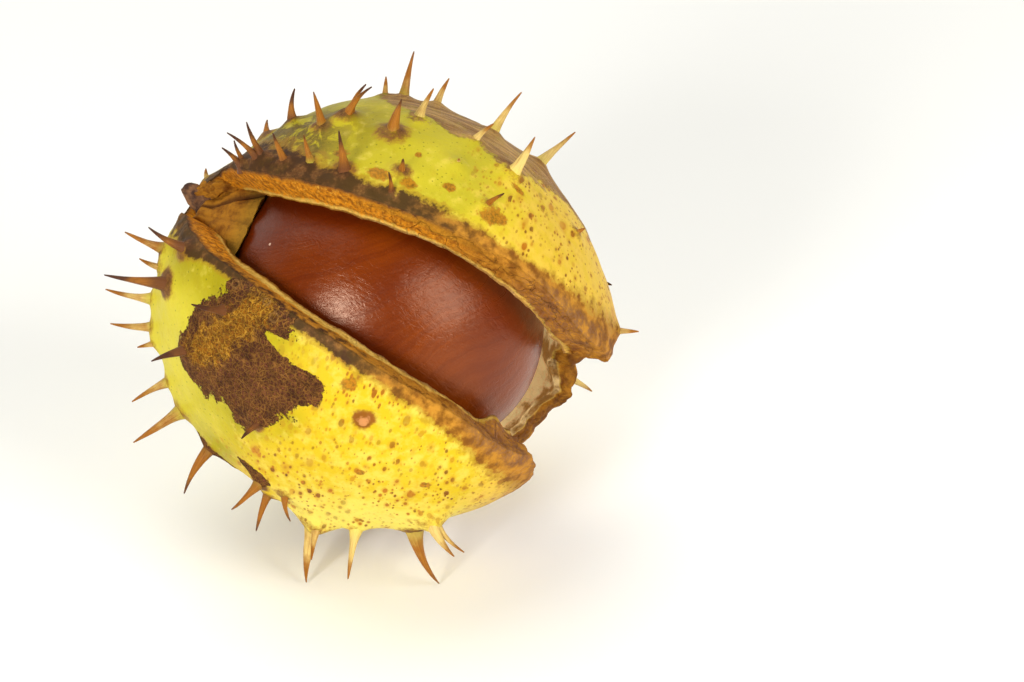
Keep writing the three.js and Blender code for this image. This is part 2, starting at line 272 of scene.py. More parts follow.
def inner_reach(theta, v):
    """Distance of the lining: a smaller ellipsoid that swells inwards, as a squared sine
    across each valve, towards the valve's middle."""
    edges = np.array([0, BACK_SEAM, UNDER_SEAM, 1])
    valve = np.clip(np.searchsorted(edges, v, side="right") - 1, 0, 2)
    across = np.clip((v - edges[valve]) / (edges[valve + 1] - edges[valve]), 0, 1)
    swell = (WALL_MIDDLE_SWELL * np.sin(np.pi * across) ** 2
             * np.sin(np.radians(theta)) ** 2)
    return ellipsoid_reach(theta, HUSK_HALF_LENGTH - WALL_AT_ENDS,
                           HUSK_RADIUS - WALL_AT_RIM) - swell


def flat_offset(theta, phi, theta0, phi0):
    """Offsets in millimetres along and around from a place on the skin."""
    along = np.radians(theta - theta0) * MEAN_RADIUS
    turn = (phi - phi0 + 180) % 360 - 180
    return along, np.radians(turn) * HUSK_RADIUS * np.sin(np.radians(theta0))


def oval_field(theta, phi, ovals):
    """How deep a place lies in a set of ovals: 1 at a middle, 0 on an edge, less outside."""
    field = np.full(np.shape(theta), -4.0)
    for t, p, half_length, half_width, turn in ovals:
        along, around = flat_offset(theta, phi, t, p)
        c, s = math.cos(math.radians(turn)), math.sin(math.radians(turn))
        far = np.hypot((c * along + s * around) / half_length,
                       (c * around - s * along) / half_width)
        field = np.maximum(field, 1 - far)
    return field


def streak_field(theta, phi):
    """1 on the line of the fibrous streak, falling to 0 at its half width."""
    (t0, p0), (t1, p1), half = STREAK
    ax, ay = flat_offset(theta, phi, t0, p0)
    bx, by = flat_offset(np.float64(t1), np.float64(p1), t0, p0)
    share = np.clip((ax * bx + ay * by) / (bx * bx + by * by), 0, 1)
    return 1 - np.hypot(ax - share * bx, ay - share * by) / half


def crest_field(theta, phi):
    """Depth in degrees into the scurf that runs over the top of the upper valve, counted
    slower from its far edges, which are the more ragged."""
    phi = phi % 360
    inside = np.minimum(phi - read(CREST_EDGE, theta), (CREST_END - phi) * 0.45)
    return np.minimum(inside, np.minimum((theta - CREST_FROM) * 0.6, (CREST_TO - theta) * 0.8))


def turn_matrix():
    """Rotation of the husk's frame: roll about z, then pitch about x."""
    r, p = math.radians(HUSK_ROLL), math.radians(HUSK_PITCH)
    roll = np.array([[math.cos(r), -math.sin(r), 0], [math.sin(r), math.cos(r), 0], [0, 0, 1]])
    pitch = np.array([[1, 0, 0], [0, math.cos(p), -math.sin(p)], [0, math.sin(p), math.cos(p)]])
    return pitch @ roll


TURN = turn_matrix()


def to_world(points):
    """Husk frame in millimetres to the frame of the solids in metres."""
    return (np.asarray(points) @ TURN.T + np.array(HUSK_CENTRE)) * 0.001


def to_husk(points_mm):
    """Standing frame in millimetres to the husk's frame."""
    return (np.asarray(points_mm, float) - np.array(HUSK_CENTRE)) @ TURN


# ---- mesh helpers --------------------------------------------------------------------------

def sheet_quads(index, flip=False):
    """Quads over a two-way table of vertex numbers, facing first axis cross second axis."""
    a, b, c, d = index[:-1, :-1], index[1:, :-1], index[1:, 1:], index[:-1, 1:]
    quads = np.stack([a, d, c, b] if flip else [a, b, c, d], -1)
    return quads.reshape(-1, 4)


def slab(n_along, n_across, n_through):
    """Surface of a unit block on a grid: shares u, v, w and its quads, facing outwards."""
    shape = (n_along + 1, n_across + 1, n_through + 1)
    i, j, k = np.indices(shape)
    skin = ((i == 0) | (i == n_along) | (j == 0) | (j == n_across) | (k == 0)
            | (k == n_through))
    index = np.full(shape, -1)
    index[skin] = np.arange(skin.sum())
    quads = np.concatenate([
        sheet_quads(index[:, :, -1]), sheet_quads(index[:, :, 0], True),
        sheet_quads(index[:, -1, :].T), sheet_quads(index[:, 0, :].T, True),
        sheet_quads(index[-1, :, :]), sheet_quads(index[0, :, :], True)])
    return i[skin] / n_along, j[skin] / n_across, k[skin] / n_through, quads


def closed_tube(rings, sides, count):
    """Quads and triangles of `count` capped tubes of `rings` rings with `sides` corners,
    each followed by its two pole points."""
    ring = np.arange(rings)[:, None] * sides + np.arange(sides + 1)[None, :] % sides
    body = sheet_quads(ring, True)
    around = np.arange(sides)
    after = (around + 1) % sides
    low, high, top = rings * sides, rings * sides + 1, (rings - 1) * sides
    start = np.stack([np.full(sides, low), after, around], -1)
    end = np.stack([np.full(sides, high), top + around, top + after], -1)
    size = rings * sides + 2
    faces = []
    for k in range(count):
        for part in (body, start, end):
            faces += (part + k * size).tolist()
    return faces


def new_piece(name, points, faces, fields, material, node):
    """Puts world points, faces and per-vertex fields into a mesh and fits it to the frame."""
    mesh = bpy.data.meshes.new(name)
    if isinstance(faces, np.ndarray):
        mesh.vertices.add(len(points))
        mesh.vertices.foreach_set("co", np.asarray(points, np.float32).ravel())
        mesh.loops.add(faces.size)
        mesh.loops.foreach_set("vertex_index", faces.ravel().astype(np.int32))
        mesh.polygons.add(len(faces))
        mesh.polygons.foreach_set(
            "loop_start", np.arange(0, faces.size, faces.shape[1], dtype=np.int32))
        mesh.update(calc_edges=True)
    else:
        mesh.from_pydata(np.asarray(points).tolist(), [], faces)
    mesh.validate()
    mesh.polygons.foreach_set("use_smooth", np.ones(len(mesh.polygons), bool))
    for field, values in fields.items():
        values = np.asarray(values, np.float32)
        kind, key = ("FLOAT", "value") if values.ndim == 1 else ("FLOAT_VECTOR", "vector")
        mesh.attributes.new(field, kind, "POINT").data.foreach_set(key, values.ravel())
    mesh.materials.append(material)
    piece = bpy.data.objects.new(name, mesh)
    bpy.context.scene.collection.objects.link(piece)
    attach(piece, "root")
    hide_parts(node)
    return piece


# ---- node helpers --------------------------------------------------------------------------

class Tree:
    """Short calls for building a node tree."""

    def __init__(self, tree):
        self.tree = tree

    def set(self, socket, value):
        if isinstance(value, bpy.types.NodeSocket):
            self.tree.links.new(value, socket)
        elif value is not None:
            if not isinstance(value, (int, float)):
                value = tuple(value)
                if socket.type == "RGBA" and len(value) == 3:
                    value += (1.0,)
            socket.default_value = value

    def node(self, kind, out=0, sockets=(), **settings):
        made = self.tree.nodes.new(kind)
        for name, value in settings.items():
            setattr(made, name, value)
        for key, value in dict(sockets).items():
            self.set(made.inputs[key], value)
        return made.outputs[out] if out is not None else made

    def math(self, operation, *values):
        return self.node("ShaderNodeMath", operation=operation, sockets=enumerate(values))

    def times(self, a, b):
        return self.math("MULTIPLY", a, b)

    def plus(self, a, b):
        return self.math("ADD", a, b)

    def swing(self, noise, gain, shift=None):
        """A noise times a gain, shifted by half the gain so that it swings about 0."""
        return self.math("MULTIPLY_ADD", noise, gain, -gain / 2 if shift is None else shift)

    def frayed(self, value, *noises):
        """A value with swinging noises added, each as (noise, gain) or with its own shift."""
        for row in noises:
            value = self.plus(value, self.swing(*row))
        return value

    def mask(self, value, low, high):
        """0 at `low`, 1 at `high`, eased between."""
        return self.node("ShaderNodeMapRange", interpolation_type="SMOOTHSTEP", sockets={
            "Value": value, "From Min": low, "From Max": high})

    def mix(self, factor, a, b, blend="MIX"):
        return self.node("ShaderNodeMix", 2, {0: factor, 6: a, 7: b}, data_type="RGBA",
                         blend_type=blend)

    def layers(self, base, *rows):
        """Colours laid over a base one by one, each as (mask, strength, colour)."""
        for mask, strength, *colour in rows:
            base = self.mix(mask if strength == 1 else self.times(mask, strength), base, *colour)
        return base

    def field(self, name, out="Fac"):
        return self.node("ShaderNodeAttribute", out, attribute_name=name)

    def vector(self, operation, *values, out=0):
        return self.node("ShaderNodeVectorMath", out, enumerate(values), operation=operation)

    def millimetres(self):
        """Object coordinates in millimetres."""
        return self.node("ShaderNodeVectorMath", operation="SCALE", sockets={
            0: self.node("ShaderNodeTexCoord", 3), "Scale": 1000.0})

    def noise(self, vector, scale, detail=3.0, rough=0.55, distort=0.0, out=0):
        return self.node("ShaderNodeTexNoise", out, {
            "Vector": vector, "Scale": scale, "Detail": detail, "Roughness": rough,
            "Distortion": distort})

    def walls(self, vector, scale):
        """Distance to the nearest wall of a Voronoi pattern."""
        return self.node("ShaderNodeTexVoronoi", feature="DISTANCE_TO_EDGE", sockets={
            "Vector": vector, "Scale": scale})

    def group(self, group, sockets, out=0):
        return self.node("ShaderNodeGroup", out, sockets, node_tree=group)


def new_group(name, inputs, outputs):
    """An empty shader node group with named sockets; returns the group, tree and ends."""
    group = bpy.data.node_groups.new(name, "ShaderNodeTree")
    for socket, default in {"Vector": None, **inputs}.items():
        kind = "NodeSocketVector" if default is None else "NodeSocketFloat"
        made = group.interface.new_socket(socket, in_out="INPUT", socket_type=kind)
        if default is not None:
            made.default_value = default
    for socket in outputs:
        group.interface.new_socket(socket, in_out="OUTPUT", socket_type="NodeSocketFloat")
    start = group.nodes.new("NodeGroupInput")
    end = group.nodes.new("NodeGroupOutput")
    return group, Tree(group), start.outputs, end.inputs


def bent_place(tree, place, scale, share):
    """A place mixed with a coloured noise, so that a pattern on it loses its straight lines."""
    return tree.node("ShaderNodeMix", 1, {0: share, 4: place, 5: tree.noise(
        place, scale, 2.0, out=1)}, data_type="VECTOR")


def dots_group():
    """Scattered round spots: cells of a Voronoi pattern, each with its own radius, and some
    left empty. Gives the spots, a soft ring around them and a random number per spot."""
    group = bpy.data.node_groups.get("Spots")
    if group:
        return group
    group, tree, start, end = new_group(
        "Spots", {"Scale": 1.0, "Radius": 0.2, "Share": 0.5}, ("Spot", "Ring", "Random"))
    bent = bent_place(tree, start["Vector"], tree.times(start["Scale"], 2.6), 0.10)
    cells = tree.node("ShaderNodeTexVoronoi", None, {
        "Vector": bent, "Scale": start["Scale"], "Randomness": 1.0}).outputs
    parts = tree.node("ShaderNodeSeparateColor", None, {"Color": cells["Color"]}).outputs
    size = tree.times(start["Radius"], tree.math("POWER", parts[0], 1.6))
    size = tree.plus(size, tree.times(start["Radius"], 0.18))
    there = tree.math("LESS_THAN", parts[1], start["Share"])
    far = tree.math("DIVIDE", cells["Distance"], size)
    tree.set(end["Spot"], tree.times(tree.mask(far, 1.0, 0.7), there))
    tree.set(end["Ring"], tree.times(tree.mask(far, 1.8, 0.9), there))
    tree.set(end["Random"], parts[2])
    return group


def fuzz_group():
    """Tangled short fibres: two warped sets of thin Voronoi cell walls over a fine noise.
    Gives a mask of the fibres and a grainy value."""
    group = bpy.data.node_groups.get("Fuzz")
    if group:
        return group
    group, tree, start, end = new_group("Fuzz", {"Scale": 1.0}, ("Fibres", "Grain"))
    masks = []
    for shift, warp in ((1.0, 0.125), (1.7, 0.2)):
        scale = tree.times(start["Scale"], shift)
        walls = tree.walls(bent_place(tree, start["Vector"], scale, warp), scale)
        masks.append(tree.mask(walls, 0.11, 0.02))
    tree.set(end["Fibres"], tree.math("MAXIMUM", *masks))
    tree.set(end["Grain"], tree.noise(start["Vector"], tree.times(start["Scale"], 2.4), 5.0,
                                      0.7))
    return group


def new_material(name):
    """A material with its Principled shader; returns the material, its tree and the shader."""
    material = bpy.data.materials.new(name)
    material.use_nodes = True
    shader = next(n for n in material.node_tree.nodes if n.type == "BSDF_PRINCIPLED")
    return material, Tree(material.node_tree), shader


def finish_shader(tree, shader, sockets, height=None, distance=0.0):
    """Sets the shader's sockets, and a bump of a height field over a distance in metres."""
    for name, value in sockets.items():
        tree.set(shader.inputs[name], value)
    if height is not None:
        tree.set(shader.inputs["Normal"], tree.node("ShaderNodeBump", sockets={
            "Height": height, "Distance": distance, "Strength": 1.0}))


# ---- settings ------------------------------------------------------------------------------

def colour_setting(name, description, default):
    return bpy.props.FloatVectorProperty(name=name, description=description, subtype="COLOR",
                                         size=3, min=0, max=1, default=default)


def number_setting(name, description, default, low, high, **unit):
    return bpy.props.FloatProperty(name=name, description=description, default=default,
                                   min=low, max=high, **unit)


class HuskSettings(bpy.types.PropertyGroup):
    """Sizes and colours of the husk."""
    edge_round: number_setting("Edge round", "Rounding of the edge between skin and cut face, "
                               "in mm", 0.6, 0.1, 1.5)
    skin_green: colour_setting("Skin green", "Skin near the stem end", (0.355, 0.29, 0.003))
    skin_lime: colour_setting("Skin lime", "Paler green of the shaded skin", (0.49, 0.40, 0.010))
    skin_yellow: colour_setting("Skin yellow", "Ripe skin", (0.63, 0.435, 0.008))
    skin_ochre: colour_setting("Skin ochre", "Ageing skin", (0.74, 0.47, 0.045))
    skin_tan: colour_setting("Skin tan", "Dry skin at the tips", (0.50, 0.225, 0.022))
    scurf: colour_setting("Scurf", "Purple-brown scurf", (0.105, 0.036, 0.012))
    scurf_dark: colour_setting("Scurf dark", "Darkest scurf and margins", (0.04, 0.014, 0.006))
    streak: colour_setting("Streak", "Orange fibres in the scurf", (0.34, 0.12, 0.004))
    spot: colour_setting("Spot", "Brown spots of the skin", (0.13, 0.04, 0.003))
    cork: colour_setting("Cork", "Cut face of the wall", (0.69, 0.255, 0.009))
    cork_dark: colour_setting("Cork dark", "Pits and cracks of the cut face", (0.24, 0.07, 0.003))
    cork_olive: colour_setting("Cork olive", "Outer half of the cut face", (0.34, 0.16, 0.010))
    lip: colour_setting("Lip", "Thin pale inner lip", (0.74, 0.48, 0.10))
    lining: colour_setting("Lining", "Inside of the wall", (0.86, 0.62, 0.28))
    lining_olive_shade: colour_setting("Lining olive", "Shaded inside", (0.42, 0.22, 0.02))


class SpineSettings(bpy.types.PropertyGroup):
    """Sizes and colours of the spines."""
    sharpness: number_setting("Sharpness", "How fast a spine thins above its root", 2.1, 1, 4)
    tip_radius: number_setting("Tip radius", "Radius of a spine's tip, in mm", 0.07, 0.02, 0.5)
    pale: colour_setting("Pale", "Fresh spine", (0.76, 0.55, 0.17))
    orange: colour_setting("Orange", "Ripe spine", (0.38, 0.14, 0.012))
    dark: colour_setting("Dark", "Dead spine", (0.085, 0.028, 0.01))


class NutSettings(bpy.types.PropertyGroup):
    """Sizes and colours of the nut."""
    half_length: number_setting("Half length", "Half the nut's length, in mm", 18.2, 10, 19)
    half_height: number_setting("Half height", "Half the nut's height, in mm", 16.6, 10, 17)
    half_depth: number_setting("Half depth", "Half the nut's depth, in mm", 16.8, 10, 17)
    coat: colour_setting("Coat", "Middle brown of the nut", (0.215, 0.037, 0.0008))
    coat_dark: colour_setting("Coat dark", "Dark grain of the nut", (0.085, 0.007, 0.0003))
    coat_red: colour_setting("Coat red", "Red brown towards the stem end", (0.135, 0.017, 0.001))
    scar: colour_setting("Scar", "Pale scar at the stem end", (0.62, 0.48, 0.32))


class StageSettings(bpy.types.PropertyGroup):
    """Camera, floor and light."""
    lens: number_setting("Lens", "Focal length", 105, 20, 300, unit="CAMERA")
    distance: number_setting("Distance", "Camera to target", 0.4928, 0.1, 3, unit="LENGTH")
    elevation: number_setting("Elevation", "Camera above the floor", math.radians(30),
                              0, math.pi / 2, subtype="ANGLE")
    sky: number_setting("Sky", "Strength of the white surround", 0.92, 0, 5)
    key: number_setting("Key", "Power of the left soft light", 2.45, 0, 20, unit="POWER")
    fill: number_setting("Fill", "Power of the right soft light", 2.2, 0, 20, unit="POWER")
    top: number_setting("Top", "Power of the broad light above", 4.1, 0, 20, unit="POWER")
    floor: colour_setting("Floor", "Pale floor", (0.97, 0.962, 0.912))


# ---- husk ----------------------------------------------------------------------------------

def spine_root(theta, phi):
    """Root of a spine, and the directions away from the skin, to the tip and around."""
    v = share_at(theta, phi % 360)
    root = towards(theta, phi) * outer_reach(theta, phi, v)
    out = root / np.array([HUSK_HALF_LENGTH ** 2, HUSK_RADIUS ** 2, HUSK_RADIUS ** 2])
    out = out / np.linalg.norm(out)
    around = towards(90, phi + 90)
    return root, out, np.cross(around, out), around


def all_spines():
    """The listed spines and, by the golden angle, those of the side turned away. Their
    heights, offsets and thickness follow sines of their number."""
    rows = [list(row) for row in SPINES]
    for i in range(FAR_COUNT):
        theta = math.degrees(math.acos(1 - 2 * (i + 0.5) / FAR_COUNT))
        phi = i * GOLDEN_ANGLE % 360
        v = float(share_at(theta, phi))
        near_seam = min(abs(v - BACK_SEAM), abs(v - UNDER_SEAM - 0.01)) < 0.035
        near_foot = any(float(turn_between(theta, phi, t, p)) < 11 for t, p, *_ in FEET)
        in_wall = 14 < theta < float(read(TIP_LINE, v)) - 7
        if FAR_FROM < phi < FAR_TO and in_wall and not near_seam and not near_foot:
            wobble = math.sin(i * 2.4)
            wanted = 3.0 + 2.6 * (0.5 + 0.5 * math.sin(i * 1.7))
            root = spine_root(theta, phi)[0]
            share = math.hypot(root[0] / HUSK_HALF_LENGTH, root[1] / HUSK_RADIUS)
            height = min(wanted, (FAR_OUTLINE / share - 1) * HUSK_RADIUS)
            rows.append([theta, phi, height, 1.2 * wobble, 0.8 * math.cos(i * 3.1),
                         1.2 + 0.3 * wobble, 0.35 + 0.3 * math.sin(i * 5.3)])
    return rows


def spine_stations():
    """Start, bend and end point, root radius and darkness of every spine. A spine that would
    reach the floor is shortened, or left out."""
    rows = []
    for theta, phi, height, lean, sweep, radius, dark in all_spines():
        root, out, along, around = spine_root(theta, phi)
        share = 1.0
        while share > 0.3:
            end = root + share * (out * height + along * lean + around * sweep)
            if to_world(end)[2] * 1000 > LOWEST_TIP:
                break
            share -= 0.05
        if share > 0.3:
            bend = root + out * height * share * BEND_SHARE
            rows.append((root - ROOT_DEPTH * out, bend, end, radius, dark))
    for theta, phi, x, y, radius, dark in FEET:
        root, out, _, _ = spine_root(theta, phi)
        end = to_husk((x, y, FOOT_HEIGHT))
        bend = root + out * np.linalg.norm(end - root) * BEND_SHARE
        rows.append((root - ROOT_DEPTH * out, bend, end, radius, dark))
    return tuple(np.array(column, float) for column in zip(*rows))


def split_share(theta):
    """Half width of the split under the husk, as a share of the way round."""
    along = np.clip((theta - SPLIT_START) / (175 - SPLIT_START), 0, 1)
    return np.where(theta > SPLIT_START, 0.002 + 0.04 * along ** 1.5, 0.0) - SEAM_OVERLAP


def skin_relief(theta, phi, flat, margin, scurf, crest, stations):
    """Heights over the skin: lumps, the scurf's crust, the shrunken margin and the wart with
    its moat, all noise in bell-shaped or eased bounds. Also the flares under the spines."""
    lumps = 0.16 * layered_noise(flat, 9.0, 3, 3) + 0.03 * layered_noise(flat, 1.6, 8, 2)
    lumps += ease(scurf, -0.05, 0.25) * (0.06 + 0.07 * layered_noise(flat, 0.9, 12, 3))
    lumps += ease(crest, 0, 6) * 0.07 * layered_noise(flat * np.array([0.4, 1, 1]), 1.6, 14, 3)
    lumps -= ease(margin, 1.15, 0.15) * (0.22 + 0.16 * layered_noise(flat, 1.4, 21, 3))
    far = np.hypot(*flat_offset(theta, phi, *WART[:2]))
    lumps += WART[3] * np.exp(-(far / (0.72 * WART[2])) ** 4) - 0.25 * np.exp(
        -((far - 1.25 * WART[2]) / 0.5) ** 2)
    starts, bends, _, roots, _ = stations
    feet = bends - starts
    feet = starts + ROOT_DEPTH * feet / np.linalg.norm(feet, axis=1)[:, None]
    flare = np.zeros(len(theta))
    for foot, root in zip(feet, roots):
        far = np.linalg.norm(flat - foot, axis=1)
        flare += 0.62 * root * np.exp(-(far / (1.15 * root)) ** 1.5)
    return lumps, flare


def skin_fields(kind, theta, phi, to_low, to_high, to_tip, flat, stations):
    """Fields that steer the stains: distance into the dead margin as a share of its width,
    depth in the scurf, in the scurf over the top, and the collars around the spine roots."""
    seam_margin = 0.3 + 1.4 * ease(theta, SPLIT_START, SPLIT_START + 25)
    margin = to_tip / TIP_MARGIN
    if kind == "upper":
        margin = np.minimum(margin, to_low / read(UPPER_MARGIN, theta))
    if kind == "front":
        margin = np.minimum(margin, to_high / read(LOWER_MARGIN, theta))
        margin = np.minimum(margin, to_low / seam_margin)
    if kind == "back":
        margin = np.minimum(margin, to_high / seam_margin)
    scurf = oval_field(theta, phi, SCURF)
    gaps = oval_field(theta, phi, SCURF_GAPS)
    scurf = np.minimum(scurf, 0.4 - 1.4 * np.clip(gaps + 0.3, 0, 1))
    crest = crest_field(theta, phi) if kind == "upper" else 0 * theta - 10
    starts, _, _, roots, darks = stations
    stain = np.zeros(len(theta))
    for start, root, dark in zip(starts, roots, darks):
        far = np.linalg.norm(flat - start, axis=1)
        stain = np.maximum(stain, (0.4 + 0.6 * dark) * ease(far, 1.6 * root + 0.5, root * 0.7))
    return margin, scurf, crest, stain


def ripeness(kind, theta, turn):
    """0 for green skin near the stem end, 1 for yellow skin towards the tip."""
    if kind == "upper":
        return ease(theta, 82, 122)
    if kind == "front":
        low = 0.8 * ease(turn, -46, -78) * ease(theta, 62, 90)
        return ease(theta, 52, 108) * ease(turn, -112, -80) + low
    return ease(theta, 70, 130)


def dryness(kind, theta):
    """0 for fresh skin, 1 for the tan skin of the tips."""
    if kind == "upper":
        return 0.5 * ease(theta, 88, 126) + 0.5 * ease(theta, 130, 168)
    return ease(theta, 126, 156)


def valve_shape(kind, round_mm):
    """One valve: a block wrapped over the body. Its outside follows the outer reach, its
    inside the inner reach. The edges are rounded by a square-law dip, the cut faces carry
    folds that run along the rim, and noise adds the lumps of the skin."""
    start, stop, low_sway, high_sway, rim_seed, fold_seed, grid = VALVES[kind]
    u, v, w, quads = slab(*grid)
    v_grid = v - 0.5 * np.sin(2 * np.pi * v) / (2 * np.pi)
    rough_v = start + v_grid * (stop - start)
    tip = read_round(TIP_LINE, rough_v, 0.03)
    tip = tip + 1.2 * layered_noise(columns(rough_v * 90, 0, 7), 3.5, 31, 3)
    theta = STEM_HOLE + u * (tip - STEM_HOLE)
    split = split_share(theta)
    low = {"upper": 0 * theta, "back": BACK_SEAM - SEAM_OVERLAP + 0 * theta,
           "front": UNDER_SEAM + split}[kind]
    high = {"upper": BACK_SEAM + SEAM_OVERLAP + 0 * theta, "back": UNDER_SEAM - split,
            "front": 1 + 0 * theta}[kind]
    along_mm = theta * MM_PER_DEGREE
    sway = 0.0013 * layered_noise(columns(along_mm, rim_seed, 0), 5.0, 5, 4) * ease(
        theta, 12, 40)
    low, high = low + low_sway * sway, high + high_sway * sway
    v_abs = low + v_grid * (high - low)
    phi = around_at(theta, v_abs)
    inside, outside = inner_reach(theta, v_abs), outer_reach(theta, phi, v_abs)
    girth = girth_at(theta)
    to_low, to_high = (v_abs - low) * girth, (high - v_abs) * girth
    to_tip = np.radians(tip - theta) * MEAN_RADIUS
    flat = direction(theta, phi) * outside[:, None]

    nearest = np.minimum(np.minimum(to_low, to_high), to_tip)
    stations = spine_stations()
    margin, scurf, crest, stain = skin_fields(kind, theta, phi, to_low, to_high, to_tip, flat,
                                              stations)
    lumps, flare = skin_relief(theta, phi, flat, margin, scurf, crest, stations)
    dip = 0.3 * round_mm * (1 - np.clip(nearest / round_mm, 0, 1)) ** 2
    skin = outside + lumps + flare * ease(nearest, 0, 1.0) - dip
    lining = inside + 0.10 * layered_noise(flat, 3.0, 41, 3)
    if kind == "back":
        lining += (outside - THIN_TIP_WALL - inside) * ease(to_tip, 8.0, 0.5) * ease(
            v_abs, 0.41, 0.47)
    reach = lining + w * (skin - lining)

    # Cut faces: folds along the rim, pits, a rounded corner and a thin lip beside the lining.
    across_mm = w * (outside - inside)
    folds = layered_noise(columns(along_mm * 0.35, across_mm * 1.9, fold_seed), 1.3, 55, 3)
    pits = layered_noise(columns(along_mm, across_mm, 9), 0.8, 57, 3)
    bulge = ((0.11 + 0.16 * ease(theta, 85, 115)) * folds + 0.07 * pits
             + 0.10 * np.sin(np.pi * w))
    bulge -= 0.3 * round_mm * np.clip(1 - (1 - w) * 4.0 / round_mm, 0, 1) ** 2
    bulge += 0.22 * np.exp(-(across_mm / 0.22) ** 2)
    if kind == "front":
        flap = np.exp(-((theta - FLAP_THETA) / FLAP_SPREAD) ** 2)
        bulge += FLAP_HEIGHT * flap * ease(w, 0.5, 0.15)
    share = bulge / np.maximum(girth, 6.0) * ease(theta, 8, 20)
    phi = around_at(theta, v_abs - np.where(v == 0, share, 0) + np.where(v == 1, share, 0))
    theta_out = theta + np.where(u == 1, bulge * 2.0, 0)
    points = direction(theta_out, phi) * reach[:, None]

    turned = (phi + 180) % 360 - 180
    through, gap = w, np.clip(nearest, 0, 8)
    if kind == "back":
        tip_face = u == 1
        through = np.where(tip_face, np.clip((w - 0.3) / 0.7, 0, 1), w)
        gap = np.where(tip_face, 0.9 * (1 - w), gap)
    upper, front = kind == "upper", kind == "front"
    wart_far = np.hypot(*flat_offset(theta, phi, *WART[:2]))
    fields = {
        "through": through, "rim_gap": gap, "margin": margin, "scurf": scurf, "crest": crest,
        "stain": stain, "along": theta, "ripe": ripeness(kind, theta, turned),
        "dry": dryness(kind, theta), "blotch": oval_field(theta, phi, BLOTCHES),
        "streak": streak_field(theta, phi) if front else 0 * theta - 2,
        "wide_lip": front * ease(theta, 34, 46) * ease(theta, 128, 108),
        "mottle": upper * ease(theta, 70, 50) * ease(phi % 360, 78, 58),
        # Painted glow: marks the lining near the tip of the upper and back valves, which gives off
        # light of its own.
        "thin": (w == 0) * ease(theta, 104, 128) * (not front),
        "fresh": front * ease(theta, 72, 42) * ease(turned, -18, -40)
        + 0.5 * upper * ease(theta, 62, 84) * ease(theta, 128, 104),
        "wart": np.clip(1 - wart_far / (2.2 * WART[2]), 0, 1),
        "flow": columns(along_mm, v_abs * 120, across_mm + 9.0 * upper),
    }
    return points, quads, fields


def skin_place(theta, phi):
    """Place of a point of the skin in the frame of the solids, in millimetres."""
    reach = outer_reach(theta, phi, share_at(theta, phi % 360))
    return to_world(towards(theta, phi) * reach) * 1000


# ---- materials -----------------------------------------------------------------------------

def fresh_skin(tree, s, broad, medium, fine):
    """Green to yellow skin, ochre and tan where it dries, brown at the very tip."""
    ripe = tree.frayed(tree.field("ripe"), (broad, 0.9))
    dry = tree.frayed(tree.field("dry"), (medium, 1.0, -0.55))
    pale = tree.mask(tree.plus(medium, tree.times(ripe, 0.12)), 0.52, 0.8)
    return tree.layers(
        tree.mix(tree.mask(broad, 0.35, 0.7), s.skin_green, s.skin_lime),
        (tree.mask(ripe, 0.1, 0.75), 1, s.skin_yellow),
        (tree.mask(ripe, 1.0, 1.8), 1, (0.80, 0.66, 0.10)),
        (pale, 0.5, (0.78, 0.64, 0.12)),
        (tree.field("fresh"), 0.8, (0.66, 0.56, 0.04)),
        (tree.mask(dry, 0.0, 0.6), 0.8, s.skin_ochre),
        (tree.mask(dry, 0.55, 1.0), 0.85, s.skin_tan),
        (tree.mask(fine, 0.35, 0.75), 0.10, (0.7, 0.62, 0.4), "MULTIPLY"),
        (tree.mask(tree.field("along"), 155.0, 164.0), 0.8, (0.20, 0.07, 0.012)))


def spotted(tree, s, skin, mm, flow):
    """Spots: a few large, more small, and a dust of tiny ones, thicker where the skin is
    ripe, and green specks where it isn't."""
    spread = tree.mask(tree.field("ripe"), -0.2, 1.0)
    heavy = tree.mask(tree.noise(mm, 0.23, 2.0, 0.5), 0.38, 0.62)
    keep = tree.times(spread, tree.swing(heavy, 0.6, 0.4))
    place = tree.vector("MULTIPLY", flow, (1.0, 0.6, 1.0))
    for scale, radius, share, strength in ((0.55, 0.27, 0.85, 0.9), (1.15, 0.34, 1.0, 0.9),
                                           (2.4, 0.36, 1.0, 0.8)):
        made = tree.group(dots_group(), {"Vector": place, "Scale": scale, "Radius": radius,
                                         "Share": share}, None).outputs
        ring = tree.times(tree.times(made["Ring"], keep), 0.5)
        core = tree.times(tree.times(made["Spot"], keep), min(1.0, strength + 0.15))
        skin = tree.layers(skin, (ring, strength, (0.50, 0.19, 0.006)), (
            core, 1, tree.mix(made["Random"], s.spot, (0.46, 0.15, 0.005))))
    specks = tree.group(dots_group(), {"Vector": mm, "Scale": 2.2, "Radius": 0.25,
                                       "Share": 0.9})
    green_part = tree.mask(tree.field("ripe"), 0.8, 0.1)
    return tree.layers(skin, (tree.times(specks, green_part), 0.6, (0.12, 0.13, 0.004)))


def ring_scars(tree, mm, fine):
    """For each ring scar, a mask of its rim and a mask of its floor."""
    for theta, phi, radius in RING_SCARS:
        far = tree.vector("DISTANCE", mm, tuple(skin_place(theta, phi)), out=1)
        far = tree.frayed(far, (fine, 0.5))
        rim = tree.mask(tree.math("ABSOLUTE", tree.math("SUBTRACT", far, radius)), 0.2, 0.05)
        yield rim, tree.mask(far, radius + 0.3, radius)


